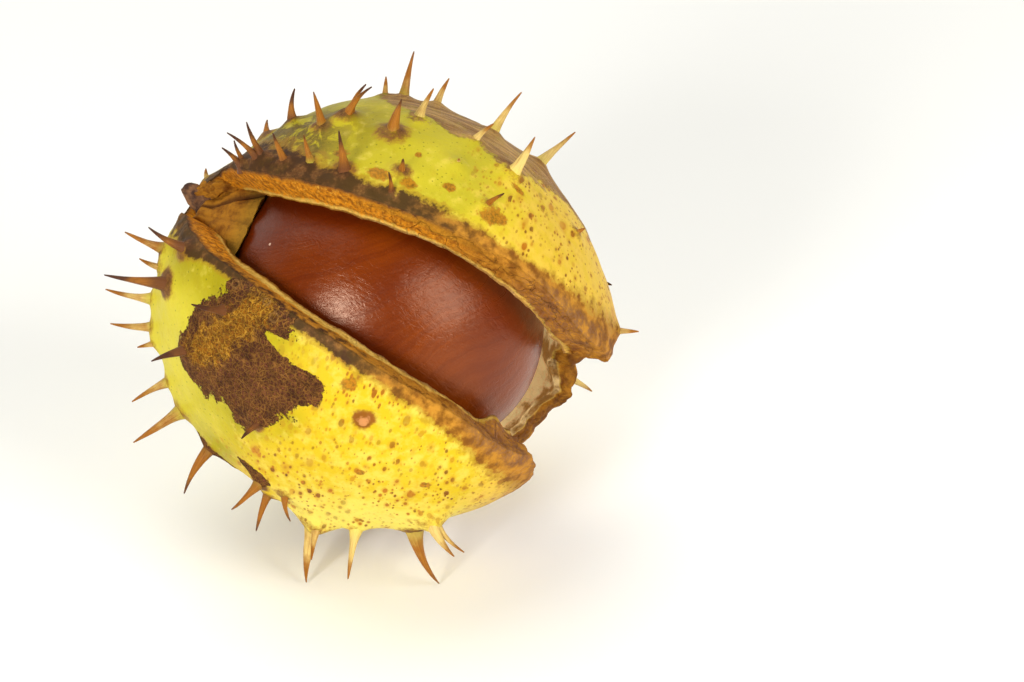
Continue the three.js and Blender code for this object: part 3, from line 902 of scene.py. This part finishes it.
def husk_material(s):
    """Skin, scurf, cut face and lining in one material, chosen by the share through the wall."""
    material, tree, shader = new_material("husk_flesh")
    mm, flow = tree.millimetres(), tree.field("flow", "Vector")
    through, along = tree.field("through"), tree.field("along")
    broad = tree.noise(mm, 0.16, 3.0, 0.5)
    medium = tree.noise(mm, 0.7, 4.0, 0.6)
    fine = tree.noise(mm, 3.2, 4.0, 0.65)
    skin = spotted(tree, s, fresh_skin(tree, s, broad, medium, fine), mm, flow)

    # Blotches, collars around the spine roots, the wart, ring scars and dark mottling.
    ragged = tree.frayed(tree.swing(medium, 1.4), (fine, 0.9))
    collar = tree.plus(tree.field("stain"), tree.times(ragged, 0.55))
    wart = tree.math("MULTIPLY_ADD", ragged, 0.35, tree.field("wart"))
    coarse_fine = tree.mask(fine, 0.35, 0.65)
    skin = tree.layers(
        skin,
        (tree.mask(tree.plus(tree.field("blotch"), ragged), -0.05, 0.35), 0.85,
         tree.mix(tree.mask(fine, 0.35, 0.6), (0.14, 0.04, 0.003), (0.42, 0.14, 0.005))),
        (tree.mask(collar, 0.28, 0.6), 0.7, (0.30, 0.135, 0.012)),
        (tree.mask(collar, 0.5, 0.72), 0.92,
         tree.mix(coarse_fine, (0.07, 0.022, 0.008), (0.20, 0.075, 0.02))),
        (tree.mask(wart, 0.3, 0.55), 1, (0.27, 0.09, 0.008)),
        (tree.mask(wart, 0.66, 0.8), 1, (0.55, 0.23, 0.07)))
    scars = list(ring_scars(tree, mm, fine))
    skin = tree.layers(skin, *((pit, 1, (0.15, 0.055, 0.012)) for _, pit in scars))
    veins = tree.noise(tree.vector("MULTIPLY", flow, (0.8, 0.5, 1.0)), 0.75, 5.0, 0.65, 0.8)
    mottled = tree.times(tree.mask(veins, 0.38, 0.5), tree.field("mottle"))
    mottle_hue = tree.mix(coarse_fine, (0.05, 0.022, 0.006), (0.16, 0.09, 0.012))

    # Dead margin: a soft olive-brown edge, then purple-brown, then almost black. Towards the
    # tip it turns to leather.
    edge = tree.frayed(tree.field("margin"), (medium, 1.3), (fine, 0.4))
    scurf_hue = tree.mix(tree.mask(fine, 0.4, 0.7), s.scurf, (0.20, 0.085, 0.025))
    dark_hue = tree.mix(tree.mask(medium, 0.42, 0.66), s.scurf_dark, scurf_hue)
    aged = tree.frayed(along, (medium, 30.0))
    purple = tree.times(tree.mask(aged, 118.0, 134.0), tree.mask(aged, 160.0, 146.0))
    purple = tree.times(purple, tree.mask(edge, 0.55, 0.15))
    purple = tree.times(purple, tree.mask(fine, 0.35, 0.6))
    leather = tree.layers(
        tree.mix(tree.mask(medium, 0.35, 0.65), (0.17, 0.05, 0.003), (0.50, 0.21, 0.018)),
        (purple, 0.8, (0.20, 0.085, 0.045)))
    dark_hue = tree.mix(tree.mask(aged, 84.0, 112.0), dark_hue, leather)
    skin = tree.layers(skin, (mottled, 0.85, mottle_hue),
                       (tree.mask(edge, 1.15, 0.8), 0.6, (0.34, 0.17, 0.012)),
                       (tree.mask(edge, 0.85, 0.6), 0.92, dark_hue))

    # Scurf patch with its fibrous streak.
    tangle = tree.group(fuzz_group(), {"Vector": mm, "Scale": 1.6}, None).outputs
    grain = tree.mask(tangle["Grain"], 0.3, 0.7)
    swirl = tree.noise(mm, 0.45, 5.0, 0.7, 1.5)
    patch = tree.frayed(tree.field("scurf"), (medium, 1.0, -0.48), (fine, 0.5))
    patch = tree.mask(patch, -0.02, 0.03)
    streak = tree.mask(tree.frayed(tree.field("streak"), (swirl, 3.0)), 0.0, 0.5)
    fibre_hue = tree.layers(s.streak, (tangle["Fibres"], 1, (0.55, 0.27, 0.02)),
                            (tree.mask(grain, 0.55, 0.1), 1, (0.15, 0.05, 0.004)))
    purple_hue = tree.mix(tree.mask(swirl, 0.4, 0.6), (0.10, 0.03, 0.012), (0.26, 0.085, 0.03))
    crust = tree.layers(tree.mix(grain, (0.05, 0.016, 0.006), purple_hue),
                        (tangle["Fibres"], 0.5, (0.36, 0.16, 0.025)),
                        (streak, 0.85, fibre_hue))
    clumps = tree.mask(tree.noise(mm, 0.85, 4.0, 0.65), 0.3, 0.6)
    crust = tree.mix(clumps, tree.mix(0.55, crust, (0.03, 0.01, 0.005)), crust)

    # Lengthwise scurf over the top.
    crest = tree.frayed(tree.field("crest"), (medium, 16.0), (fine, 7.0), (broad, 34.0))
    crest = tree.mask(crest, -1.0, 3.0)
    lines = tree.noise(tree.vector("MULTIPLY", flow, (0.22, 1.3, 1.0)), 0.8, 5.0, 0.7)
    crest_hue = tree.layers(
        tree.mix(tree.mask(lines, 0.38, 0.64), (0.29, 0.12, 0.04), (0.64, 0.36, 0.11)),
        (tree.mask(medium, 0.5, 0.75), 0.5, (0.42, 0.30, 0.03)))
    skin = tree.layers(skin, (patch, 1, crust), (crest, 0.92, crest_hue),
                       *((rim, 0.55, (0.36, 0.17, 0.045)) for rim, _ in scars))

    # Cut face: thin pale lip, orange cork, an olive outer half and a dark line under the skin.
    folds = tree.noise(tree.vector("MULTIPLY", flow, (1.2, 0.35, 0.9)), 1.1, 5.0, 0.65)
    pits = tree.noise(flow, 2.6, 4.0, 0.7)
    cracks = tree.walls(tree.vector("MULTIPLY_ADD", flow, (0.35, 0.3, 0.5), tree.noise(
        flow, 0.5, 2.0, out=1)), 0.9)
    crack = tree.times(tree.mask(cracks, 0.03, 0.0), tree.mask(along, 60.0, 90.0))
    outer_half = tree.frayed(through, (folds, 0.5))
    olive = tree.times(tree.mask(outer_half, 0.5, 0.66), tree.mask(along, 62.0, 92.0))
    edge_dark = tree.times(tree.mask(outer_half, 0.82, 1.02), tree.mask(aged, 112.0, 88.0))
    wide_lip = tree.field("wide_lip")
    worn = tree.times(tree.mask(outer_half, 0.5, 0.62), wide_lip)
    lip = tree.math("SUBTRACT", outer_half, tree.times(wide_lip, 0.32))
    cork = tree.layers(
        tree.mix(tree.mask(folds, 0.35, 0.65), s.cork_dark, s.cork),
        (tree.mask(pits, 0.5, 0.75), 1, (0.74, 0.37, 0.04)),
        (tree.mask(pits, 0.40, 0.28), 0.7, s.cork_dark),
        (crack, 0.6, s.cork_dark),
        (olive, 0.6, s.cork_olive),
        (tree.mask(aged, 90.0, 116.0), 0.85, leather),
        (edge_dark, 1, s.scurf),
        (worn, 0.85, tree.mix(tree.mask(medium, 0.4, 0.58), dark_hue, (0.42, 0.17, 0.014))),
        (tree.mask(lip, 0.20, 0.06), 1,
         tree.mix(tree.mask(folds, 0.35, 0.6), (0.5, 0.27, 0.03), s.lip)))

    # Lining: cream, olive towards the stem end as its own tone and painted shade deep in the
    # cavity, brown beside the edges and in blots.
    brown = tree.frayed(tree.field("rim_gap"), (medium, -5.0))
    blots = tree.group(dots_group(), {"Vector": mm, "Scale": 0.2, "Radius": 0.3, "Share": 0.4})
    inner = tree.layers(
        # Olive towards the stem end: the lining's own tone with painted shade deep in the cavity.
        tree.mix(tree.mask(along, 95.0, 45.0), s.lining, s.lining_olive_shade),
        (tree.mask(medium, 0.45, 0.75), 0.45, (0.55, 0.31, 0.06)),
        (tree.mask(brown, 1.9, 0.3), 0.85, (0.30, 0.11, 0.008)),
        (blots, 0.8, (0.15, 0.05, 0.006)))

    on_skin = tree.mask(through, 0.93, 0.99)
    rough = tree.layers((0.47,) * 3, (patch, 1, (0.9,) * 3),
                        (tree.mask(edge, 0.95, 0.6), 1, (0.62,) * 3))
    crusty = tree.times(tree.math("MAXIMUM", patch, crest), on_skin)
    height = tree.plus(tree.times(tree.noise(mm, 1.3, 4.0, 0.55), 0.5),
                       tree.times(crusty, tree.plus(tangle["Fibres"], tangle["Grain"])))
    for rim, _ in scars:
        height = tree.math("MULTIPLY_ADD", rim, 1.2, height)
    off_skin = tree.math("SUBTRACT", 1.0, on_skin)
    height = tree.plus(height, tree.times(off_skin, tree.math(
        "SUBTRACT", tree.plus(folds, pits), tree.times(crack, 0.8))))
    finish_shader(tree, shader, {
        "Base Color": tree.layers(inner, (tree.mask(through, 0.02, 0.07), 1, cork),
                                  (on_skin, 1, skin)),
        "Roughness": tree.mix(on_skin, (0.7,) * 3, rough), "Specular IOR Level": 0.12,
        # Painted glow: the marked lining gives off light in its own colour, standing in for light
        # shining through the thin wall.
        "Emission Color": tree.mix(tree.field("thin"), (0, 0, 0), inner),
        "Emission Strength": 0.4}, height, 0.00016)
    return material


def spine_material(s):
    """Pale, orange or dead brown shafts with darker tips and lengthwise streaks."""
    material, tree, shader = new_material("spine_horn")
    height, dark = tree.field("height"), tree.field("dark")
    blotchy = tree.noise(tree.millimetres(), 0.9, 4.0, 0.6)
    tone = tree.plus(tree.frayed(dark, (blotchy, 0.5)),
                     tree.times(tree.mask(height, 0.55, 1.0), 0.42))
    streaks = tree.noise(tree.vector("MULTIPLY", tree.field("grain", "Vector"),
                                     (6.0, 6.0, 0.5)), 1.0, 3.0)
    shaft = tree.layers(
        s.pale, (tree.mask(tone, 0.05, 0.5), 1, s.orange),
        (tree.mask(tone, 0.68, 1.05), 1, s.dark),
        (tree.mask(streaks, 0.42, 0.7), 0.6, (0.5, 0.30, 0.15), "MULTIPLY"))
    foot = tree.layers((0.50, 0.46, 0.03), (tree.field("ripe"), 1, (0.76, 0.60, 0.11)),
                       (tree.mask(dark, 0.3, 0.65), 1, (0.15, 0.05, 0.012)))
    reach = tree.math("SUBTRACT", tree.frayed(height, (blotchy, 0.2)),
                      tree.times(tree.mask(dark, 0.6, 0.9), 0.2))
    finish_shader(tree, shader, {
        "Base Color": tree.mix(tree.mask(reach, 0.12, 0.42), foot, shaft),
        "Roughness": tree.node("ShaderNodeMapRange", sockets={
            "Value": streaks, "To Min": 0.38, "To Max": 0.6}),
        "Specular IOR Level": 0.2}, streaks, 0.00008)
    return material


def stem_material():
    """Dark, rough remains of the stalk, and the leathery panel beside it, with painted shade in
    the panel's folds.
    """
    material, tree, shader = new_material("stem_bark")
    lumps = tree.noise(tree.millimetres(), 0.8, 5.0, 0.65)
    panel = tree.mix(tree.mask(lumps, 0.3, 0.6), (0.17, 0.055, 0.004), (0.38, 0.155, 0.010))
    hue = tree.layers(
        tree.mix(tree.mask(lumps, 0.35, 0.65), (0.06, 0.028, 0.018), (0.24, 0.11, 0.045)),
        (tree.mask(tree.field("height"), 0.6, 0.3), 1, panel),
        (tree.mask(tree.field("reach_in"), 0.55, 0.95), 0.5, (0.30, 0.18, 0.014)),
        # Painted shade: near black in the folds of the panel.
        (tree.mask(tree.field("fold"), 0.25, 0.9), 0.85, (0.07, 0.02, 0.003)))
    finish_shader(tree, shader, {"Base Color": hue, "Roughness": 0.8,
                                 "Specular IOR Level": 0.15}, lumps, 0.00025)
    return material


def nut_material(s):
    """Glossy brown coat: bands of grain that ring the stem end, painted shade that darkens the
    side under the upper valve and the stem end, fine creases that only show in the gloss, specks
    of dust and a pale scar."""
    material, tree, shader = new_material("nut_coat")
    place = tree.field("grain", "Vector")
    bent = tree.vector("MULTIPLY_ADD", tree.noise(place, 0.09, 3.0, 0.5, out=1),
                       (5.0, 5.0, 5.0), place)
    far = tree.vector("DISTANCE", bent, (-14.0, 14.0, 10.0), out=1)
    bands = tree.noise(tree.node("ShaderNodeCombineXYZ", sockets={
        "X": tree.times(far, 1.0), "Y": 0.0, "Z": 0.0}), 1.1, 4.0, 0.65)
    drift = tree.times(tree.noise(place, 0.12, 1.0), 6.0)
    threads = tree.noise(tree.vector("MULTIPLY", tree.node("ShaderNodeCombineXYZ", sockets={
        "X": far, "Y": drift, "Z": 0.0}), (3.5, 0.8, 1.0)), 1.0, 3.0, 0.6)
    dust = tree.group(dots_group(), {"Vector": place, "Scale": 0.33, "Radius": 0.05,
                                     "Share": 0.35})
    scar = tree.frayed(tree.field("scar"), (tree.noise(place, 0.5, 3.0), 0.3))
    scar = tree.mask(scar, 0.0, 0.12)
    hue = tree.layers(
        tree.mix(tree.mask(tree.noise(place, 0.07, 2.0, 0.5), 0.35, 0.65), s.coat_red, s.coat),
        (tree.mask(bands, 0.4, 0.7), 0.38, s.coat_dark),
        (tree.mask(threads, 0.42, 0.75), 0.28, s.coat_dark),
        # Painted shade: darkens the coat under the upper valve's lip and towards the stem end.
        (tree.mask(tree.field("shade"), 0.2, 1.0), 0.55, s.coat_dark),
        (dust, 0.75, (0.75, 0.5, 0.36)), (scar, 1, s.scar))
    rough = tree.node("ShaderNodeMapRange", sockets={
        "Value": bands, "To Min": 0.24, "To Max": 0.33})
    crease = tree.noise(tree.vector("MULTIPLY", place, (0.75, 1.6, 1.2)), 1.1, 4.0, 0.6, 0.6)
    height = tree.plus(tree.times(tree.math("ABSOLUTE", tree.swing(crease, 2.0)), 0.7),
                       tree.times(threads, 0.2))
    height = tree.plus(height, tree.times(tree.noise(place, 0.35, 2.0), 1.2))
    finish_shader(tree, shader, {
        "Base Color": hue, "Roughness": tree.math("MULTIPLY_ADD", scar, 0.4, rough),
        "Specular IOR Level": 0.5, "Specular Tint": (1.0, 0.7, 0.5)}, height, 0.00006)
    return material


# ---- pieces --------------------------------------------------------------------------------

class HUSK_OT_valves(bpy.types.Operator):
    """Build the three valves of the husk"""
    bl_idname = "husk.valves"
    bl_label = "Valves"

    def execute(self, context):
        settings = context.scene.husk_settings
        material = husk_material(settings)
        for kind in VALVES:
            points, quads, fields = valve_shape(kind, settings.edge_round)
            new_piece("valve_" + kind, to_world(points), quads, fields, material, "husk")
        return {"FINISHED"}


def spine_points(settings, rings=15, sides=10):
    """Every spine as rings carried along a quadratic curve. The radius is the tip radius
    plus the root radius times a power of the share left, with a small wave along the shaft."""
    starts, bends, ends, roots, darks = spine_stations()
    t = np.linspace(0, 1, rings) ** 1.25
    a, b, c = (x[:, None, :] for x in (starts, bends, ends))
    s = t[None, :, None]
    path = (1 - s) ** 2 * a + 2 * s * (1 - s) * b + s ** 2 * c
    count = len(starts)
    seeds = np.arange(count)[:, None]
    length = np.linalg.norm(ends - starts, axis=1)[:, None]
    tangent = 2 * (1 - s) * (b - a) + 2 * s * (c - b)
    tangent /= np.linalg.norm(tangent, axis=2)[..., None]
    side = np.cross(np.array([0.31, 0.95, 0.11]), tangent)
    side /= np.linalg.norm(side, axis=2)[..., None]
    other = np.cross(side, tangent)
    row = t[None, :]
    wave = 0.035 * length * np.sin(4.2 * row + seeds * 1.9) * row * (1 - row * 0.4)
    path = path + side * wave[..., None]
    left = np.clip(1 - t, 0, 1)[None, :]
    flare = 0.75 * left ** (3.0 * settings.sharpness) + 0.42 * left ** (0.42 * settings.sharpness)
    radius = settings.tip_radius + roots[:, None] * flare * (
        1 + 0.07 * np.sin(9 * row + seeds * 2.3))
    angle = np.linspace(0, 2 * np.pi, sides, endpoint=False)
    ribs = 1 + 0.10 * np.sin(3 * angle[None, None, :] + seeds[..., None])
    rim = radius[..., None] * ribs
    points = (path[:, :, None, :] + side[:, :, None, :] * (rim * np.cos(angle))[..., None]
              + other[:, :, None, :] * (rim * np.sin(angle))[..., None])
    poles = np.stack([path[:, 0], path[:, -1] + tangent[:, -1] * settings.tip_radius], 1)
    points = np.concatenate([points.reshape(count, -1, 3), poles], 1)
    height = np.concatenate([np.repeat(t, sides), [0, 1]])
    turn = np.concatenate([np.tile(angle, rings), [0, 0]])
    grain = columns(np.cos(turn) + seeds, np.sin(turn), height * length)
    theta = np.degrees(np.arccos(-starts[:, 0] / np.linalg.norm(starts, axis=1)))
    fields = {"height": np.tile(height, count), "dark": np.repeat(darks, height.size),
              "ripe": np.repeat(ease(theta, 40, 110), height.size),
              "grain": grain.reshape(-1, 3)}
    return points.reshape(-1, 3), closed_tube(rings, sides, count), fields


class HUSK_OT_spines(bpy.types.Operator):
    """Build the spines of the husk"""
    bl_idname = "husk.spines"
    bl_label = "Spines"

    def execute(self, context):
        settings = context.scene.spine_settings
        points, faces, fields = spine_points(settings)
        world = to_world(points)
        world[:, 2] = np.maximum(world[:, 2], 0.0)
        new_piece("husk_spines", world, faces, fields, spine_material(settings), "husk")
        return {"FINISHED"}


def ball(n_rows, n_sides):
    """Unit sphere with its poles on x, as a closed tube: its points and faces."""
    row = np.linspace(0, np.pi, n_rows + 2)[1:-1]
    turn = np.linspace(0, 2 * np.pi, n_sides, endpoint=False)
    x = np.repeat(-np.cos(row), n_sides)
    y = (np.sin(row)[:, None] * np.cos(turn)).ravel()
    z = (np.sin(row)[:, None] * -np.sin(turn)).ravel()
    points = np.concatenate([np.stack([x, y, z], -1), [[-1, 0, 0], [1, 0, 0]]])
    return points, closed_tube(n_rows, n_sides, 1)


# Folds of the panel at the stem end, as (angle, drift towards the nut, width, depth).
STEM_FOLDS = ((38, 14, 7, 1.0), (-4, -26, 7, 1.0), (12, 4, 4, 0.5), (24, -3, 3, 0.35),
              (62, 6, 6, 0.5))
STUB = np.array([[-21.8, 2.0, 0], [-25.9, 2.8, 0.1]])
STUB_ACROSS = np.array([[0.19, 0.98, 0.0], [0.0, 0.0, 1.0]])
BRIDGE_START = np.array([-23.2, 3.0, 0.6])


def stem_points(unit):
    """Three blobs from a unit sphere: a cone with folds sunk across it by bell shapes, a
    blunt stub that thins along its line, and a stretched ball that bridges to the upper
    valve. Each has noise along its directions."""
    share = (unit[:, 0] + 1) / 2
    t = share[:, None]
    turn = np.degrees(np.arctan2(unit[:, 1], unit[:, 2]))
    wide = np.hypot(unit[:, 1], unit[:, 2])
    folds = sum(depth * np.exp(-((turn - middle - bend * share) / spread) ** 2)
                for middle, bend, spread, depth in STEM_FOLDS)
    reach = (2.6 + 6.0 * share) * (1 - 0.16 * folds) / np.maximum(wide, 0.35)
    plug = columns(-20.0 + 3.2 * unit[:, 0], 0.2 + reach * unit[:, 1], reach * unit[:, 2])
    plug += unit * 0.35 * layered_noise(plug, 2.2, 71, 3)[:, None]
    girth = wide ** 0.35 * (1.9 - 1.1 * share) / np.maximum(wide, 1e-6)
    stub = STUB[0] + t * (STUB[1] - STUB[0]) + (unit[:, 1] * girth)[:, None] * STUB_ACROSS[0] + (
        unit[:, 2] * girth)[:, None] * STUB_ACROSS[1]
    stub += unit * 0.35 * layered_noise(stub, 1.3, 73, 3)[:, None]
    bridge = BRIDGE_START + t * (towards(15, 76) * 22.2 - BRIDGE_START) + unit * np.array(
        [1.2, 1.3, 1.5]) + unit * 0.4 * layered_noise(unit * 3, 1.1, 75, 3)[:, None]
    bridge_dark = 0.75 - 0.5 * ease(bridge @ np.array([0.5, 0.2, 0.8]), -12.5, -10.5)
    none = 0 * share
    fields = {"height": np.concatenate([none + 0.1, 0.6 + 0.4 * share, bridge_dark]),
              "fold": np.concatenate([np.clip(folds, 0, 1), none, none]),
              "reach_in": np.concatenate([share, none, none])}
    return np.concatenate([plug, stub, bridge]), fields


class HUSK_OT_stem(bpy.types.Operator):
    """Build the closed stem end and the stub of the stalk"""
    bl_idname = "husk.stem"
    bl_label = "Stem end"

    def execute(self, context):
        unit, faces = ball(64, 96)
        points, fields = stem_points(unit)
        every = [[k + part * len(unit) for k in face] for part in range(3) for face in faces]
        new_piece("stem_end", to_world(points), every, fields, stem_material(), "husk")
        return {"FINISHED"}


NUT_TILT = math.radians(-3)
NUT_PLACE = (-0.2, 0.3, 0.3)
NUT_FLAT_END = -17.6
NUT_SCAR = ((-17.6, -5, -6), (9, 9, 10))


class NUT_OT_nut(bpy.types.Operator):
    """Build the nut"""
    bl_idname = "nut.nut"
    bl_label = "Nut"

    def execute(self, context):
        s = context.scene.nut_settings
        unit, faces = ball(180, 260)
        girth = 1 - 0.05 * unit[:, 0]
        x = np.maximum(s.half_length * unit[:, 0], NUT_FLAT_END + 0.3 * (unit[:, 0] + 1))
        own = columns(x, s.half_height * unit[:, 1] * girth, s.half_depth * unit[:, 2] * girth)
        own += unit * (0.10 * layered_noise(own, 8.0, 91, 2) - 0.06)[:, None]
        c, d = math.cos(NUT_TILT), math.sin(NUT_TILT)
        points = own @ np.array([[c, d, 0], [-d, c, 0], [0, 0, 1]]) + np.array(NUT_PLACE)
        middle, size = np.array(NUT_SCAR, float)
        scar = 1 - np.linalg.norm((own - middle) / size, axis=1)
        # Painted shade: darker towards the upper valve, whose lip overhangs the nut, and towards
        # the stem end.
        shade = ease(own[:, 1], 2, 13) + 0.6 * ease(own[:, 0], -6, -16)
        new_piece("nut", to_world(points), faces, {"grain": own, "scar": scar, "shade": shade},
                  nut_material(s), "seed")
        return {"FINISHED"}


# ---- stage ---------------------------------------------------------------------------------

# Soft lights, as (setting, heading from the husk, distance, side).
LIGHTS = {"light_left": ("key", (-0.39, -0.85, 0.35), 0.55, 0.145),
          "light_right": ("fill", (0.71, -0.52, 0.47), 0.55, 0.34),
          "light_top": ("top", (-0.25, 0.3, 1.0), 0.9, 0.8)}
SENSOR_WIDTH = 24.0
# The camera aims beside the husk, to leave room at the right, and a little low.
AIM_RIGHT, AIM_DOWN = 0.0141, 0.0031
WHITE_ROOM = (1.0, 0.99, 0.965)
DARK_ROOM = (0.06, 0.06, 0.06)
DARK_SIDE = (0.1, -0.86, 0.5)


def soft_light(name, heading, distance, size, power, target):
    """A square area light in a direction from the target, facing it."""
    data = bpy.data.lights.new(name, "AREA")
    data.shape = "SQUARE"
    data.size = size
    data.energy = power
    light = bpy.data.objects.new(name, data)
    away = np.array(heading, float) / np.linalg.norm(heading)
    side = np.cross([0, 0, 1], away)
    side /= np.linalg.norm(side)
    axes = (side, np.cross(away, side), away, target + away * distance)
    light.matrix_world = [[*axis.tolist(), last] for axis, last in zip(axes, (0, 0, 0, 1))]
    bpy.context.scene.collection.objects.link(light)


def stage_floor(s):
    """A wide flat sheet of pale paper."""
    material, tree, shader = new_material("floor_paper")
    tone = tree.noise(tree.node("ShaderNodeTexCoord", 3), 3.0, 2.0)
    finish_shader(tree, shader, {
        "Base Color": tree.layers(s.floor, (tone, 0.06, (0.94, 0.94, 0.90))),
        "Roughness": 0.9, "Specular IOR Level": 0.1})
    mesh = bpy.data.meshes.new("floor")
    side = np.linspace(-2.5, 2.5, 21)
    x, y = np.meshgrid(side, side, indexing="ij")
    index = np.arange(x.size).reshape(x.shape)
    mesh.from_pydata(columns(x, y, 0 * x).reshape(-1, 3).tolist(), [], sheet_quads(index).tolist())
    mesh.materials.append(material)
    floor = bpy.data.objects.new("floor", mesh)
    bpy.context.scene.collection.objects.link(floor)


class STAGE_OT_stage(bpy.types.Operator):
    """Set the camera, a plain pale floor and soft light"""
    bl_idname = "stage.stage"
    bl_label = "Stage"

    def execute(self, context):
        s = context.scene.stage_settings
        middle = np.array(HUSK_CENTRE) * 0.001
        up = np.array([0, math.sin(s.elevation), math.cos(s.elevation)])
        back = np.array([0, -math.cos(s.elevation), math.sin(s.elevation)])
        data = bpy.data.cameras.new("camera")
        data.lens = s.lens
        data.sensor_width = SENSOR_WIDTH
        data.clip_start = 0.01
        camera = bpy.data.objects.new("camera", data)
        camera.location = (middle + np.array([AIM_RIGHT, 0, 0]) - AIM_DOWN * up
                           + back * s.distance)
        camera.rotation_euler = (math.pi / 2 - s.elevation, 0, 0)
        context.scene.collection.objects.link(camera)
        context.scene.camera = camera
        stage_floor(s)
        for name, (power, heading, distance, size) in LIGHTS.items():
            soft_light(name, heading, distance, size, getattr(s, power), middle)

        # A white surround that is dark towards one side, so that gloss isn't hazed by it.
        world = bpy.data.worlds.new("surround")
        world.use_nodes = True
        ground = world.node_tree.nodes["Background"]
        tree = Tree(world.node_tree)
        ahead = tree.vector("DOT_PRODUCT", tree.node("ShaderNodeTexCoord"), DARK_SIDE, out=1)
        tree.set(ground.inputs[0], tree.mix(tree.mask(ahead, -0.3, 0.35), WHITE_ROOM, DARK_ROOM))
        ground.inputs[1].default_value = s.sky
        context.scene.world = world
        context.scene.view_settings.view_transform = "Standard"
        return {"FINISHED"}


# ---- panel and registration ----------------------------------------------------------------

OPERATORS = (STAGE_OT_stage, HUSK_OT_valves, HUSK_OT_spines, HUSK_OT_stem, NUT_OT_nut)
SETTINGS = {"husk_settings": HuskSettings, "spine_settings": SpineSettings,
            "nut_settings": NutSettings, "stage_settings": StageSettings}


class CHESTNUT_PT_panel(bpy.types.Panel):
    """Lists the steps and their settings"""
    bl_idname = "CHESTNUT_PT_panel"
    bl_label = "Chestnut"
    bl_space_type = "VIEW_3D"
    bl_region_type = "UI"
    bl_category = "Chestnut"

    def draw(self, context):
        layout = self.layout
        for operator in OPERATORS:
            layout.operator(operator.bl_idname)
        for name, group in SETTINGS.items():
            box = layout.box()
            for prop in group.__annotations__:
                box.prop(getattr(context.scene, name), prop)


CLASSES = (*SETTINGS.values(), *OPERATORS, CHESTNUT_PT_panel)


def register():
    for each in CLASSES:
        bpy.utils.register_class(each)
    for name, group in SETTINGS.items():
        setattr(bpy.types.Scene, name, bpy.props.PointerProperty(type=group))


def unregister():
    for name in SETTINGS:
        delattr(bpy.types.Scene, name)
    for each in reversed(CLASSES):
        bpy.utils.unregister_class(each)


def main():
    register()
    for operator in OPERATORS:
        group, name = operator.bl_idname.split(".")
        getattr(getattr(bpy.ops, group), name)()


if __name__ == "__main__":
    main()
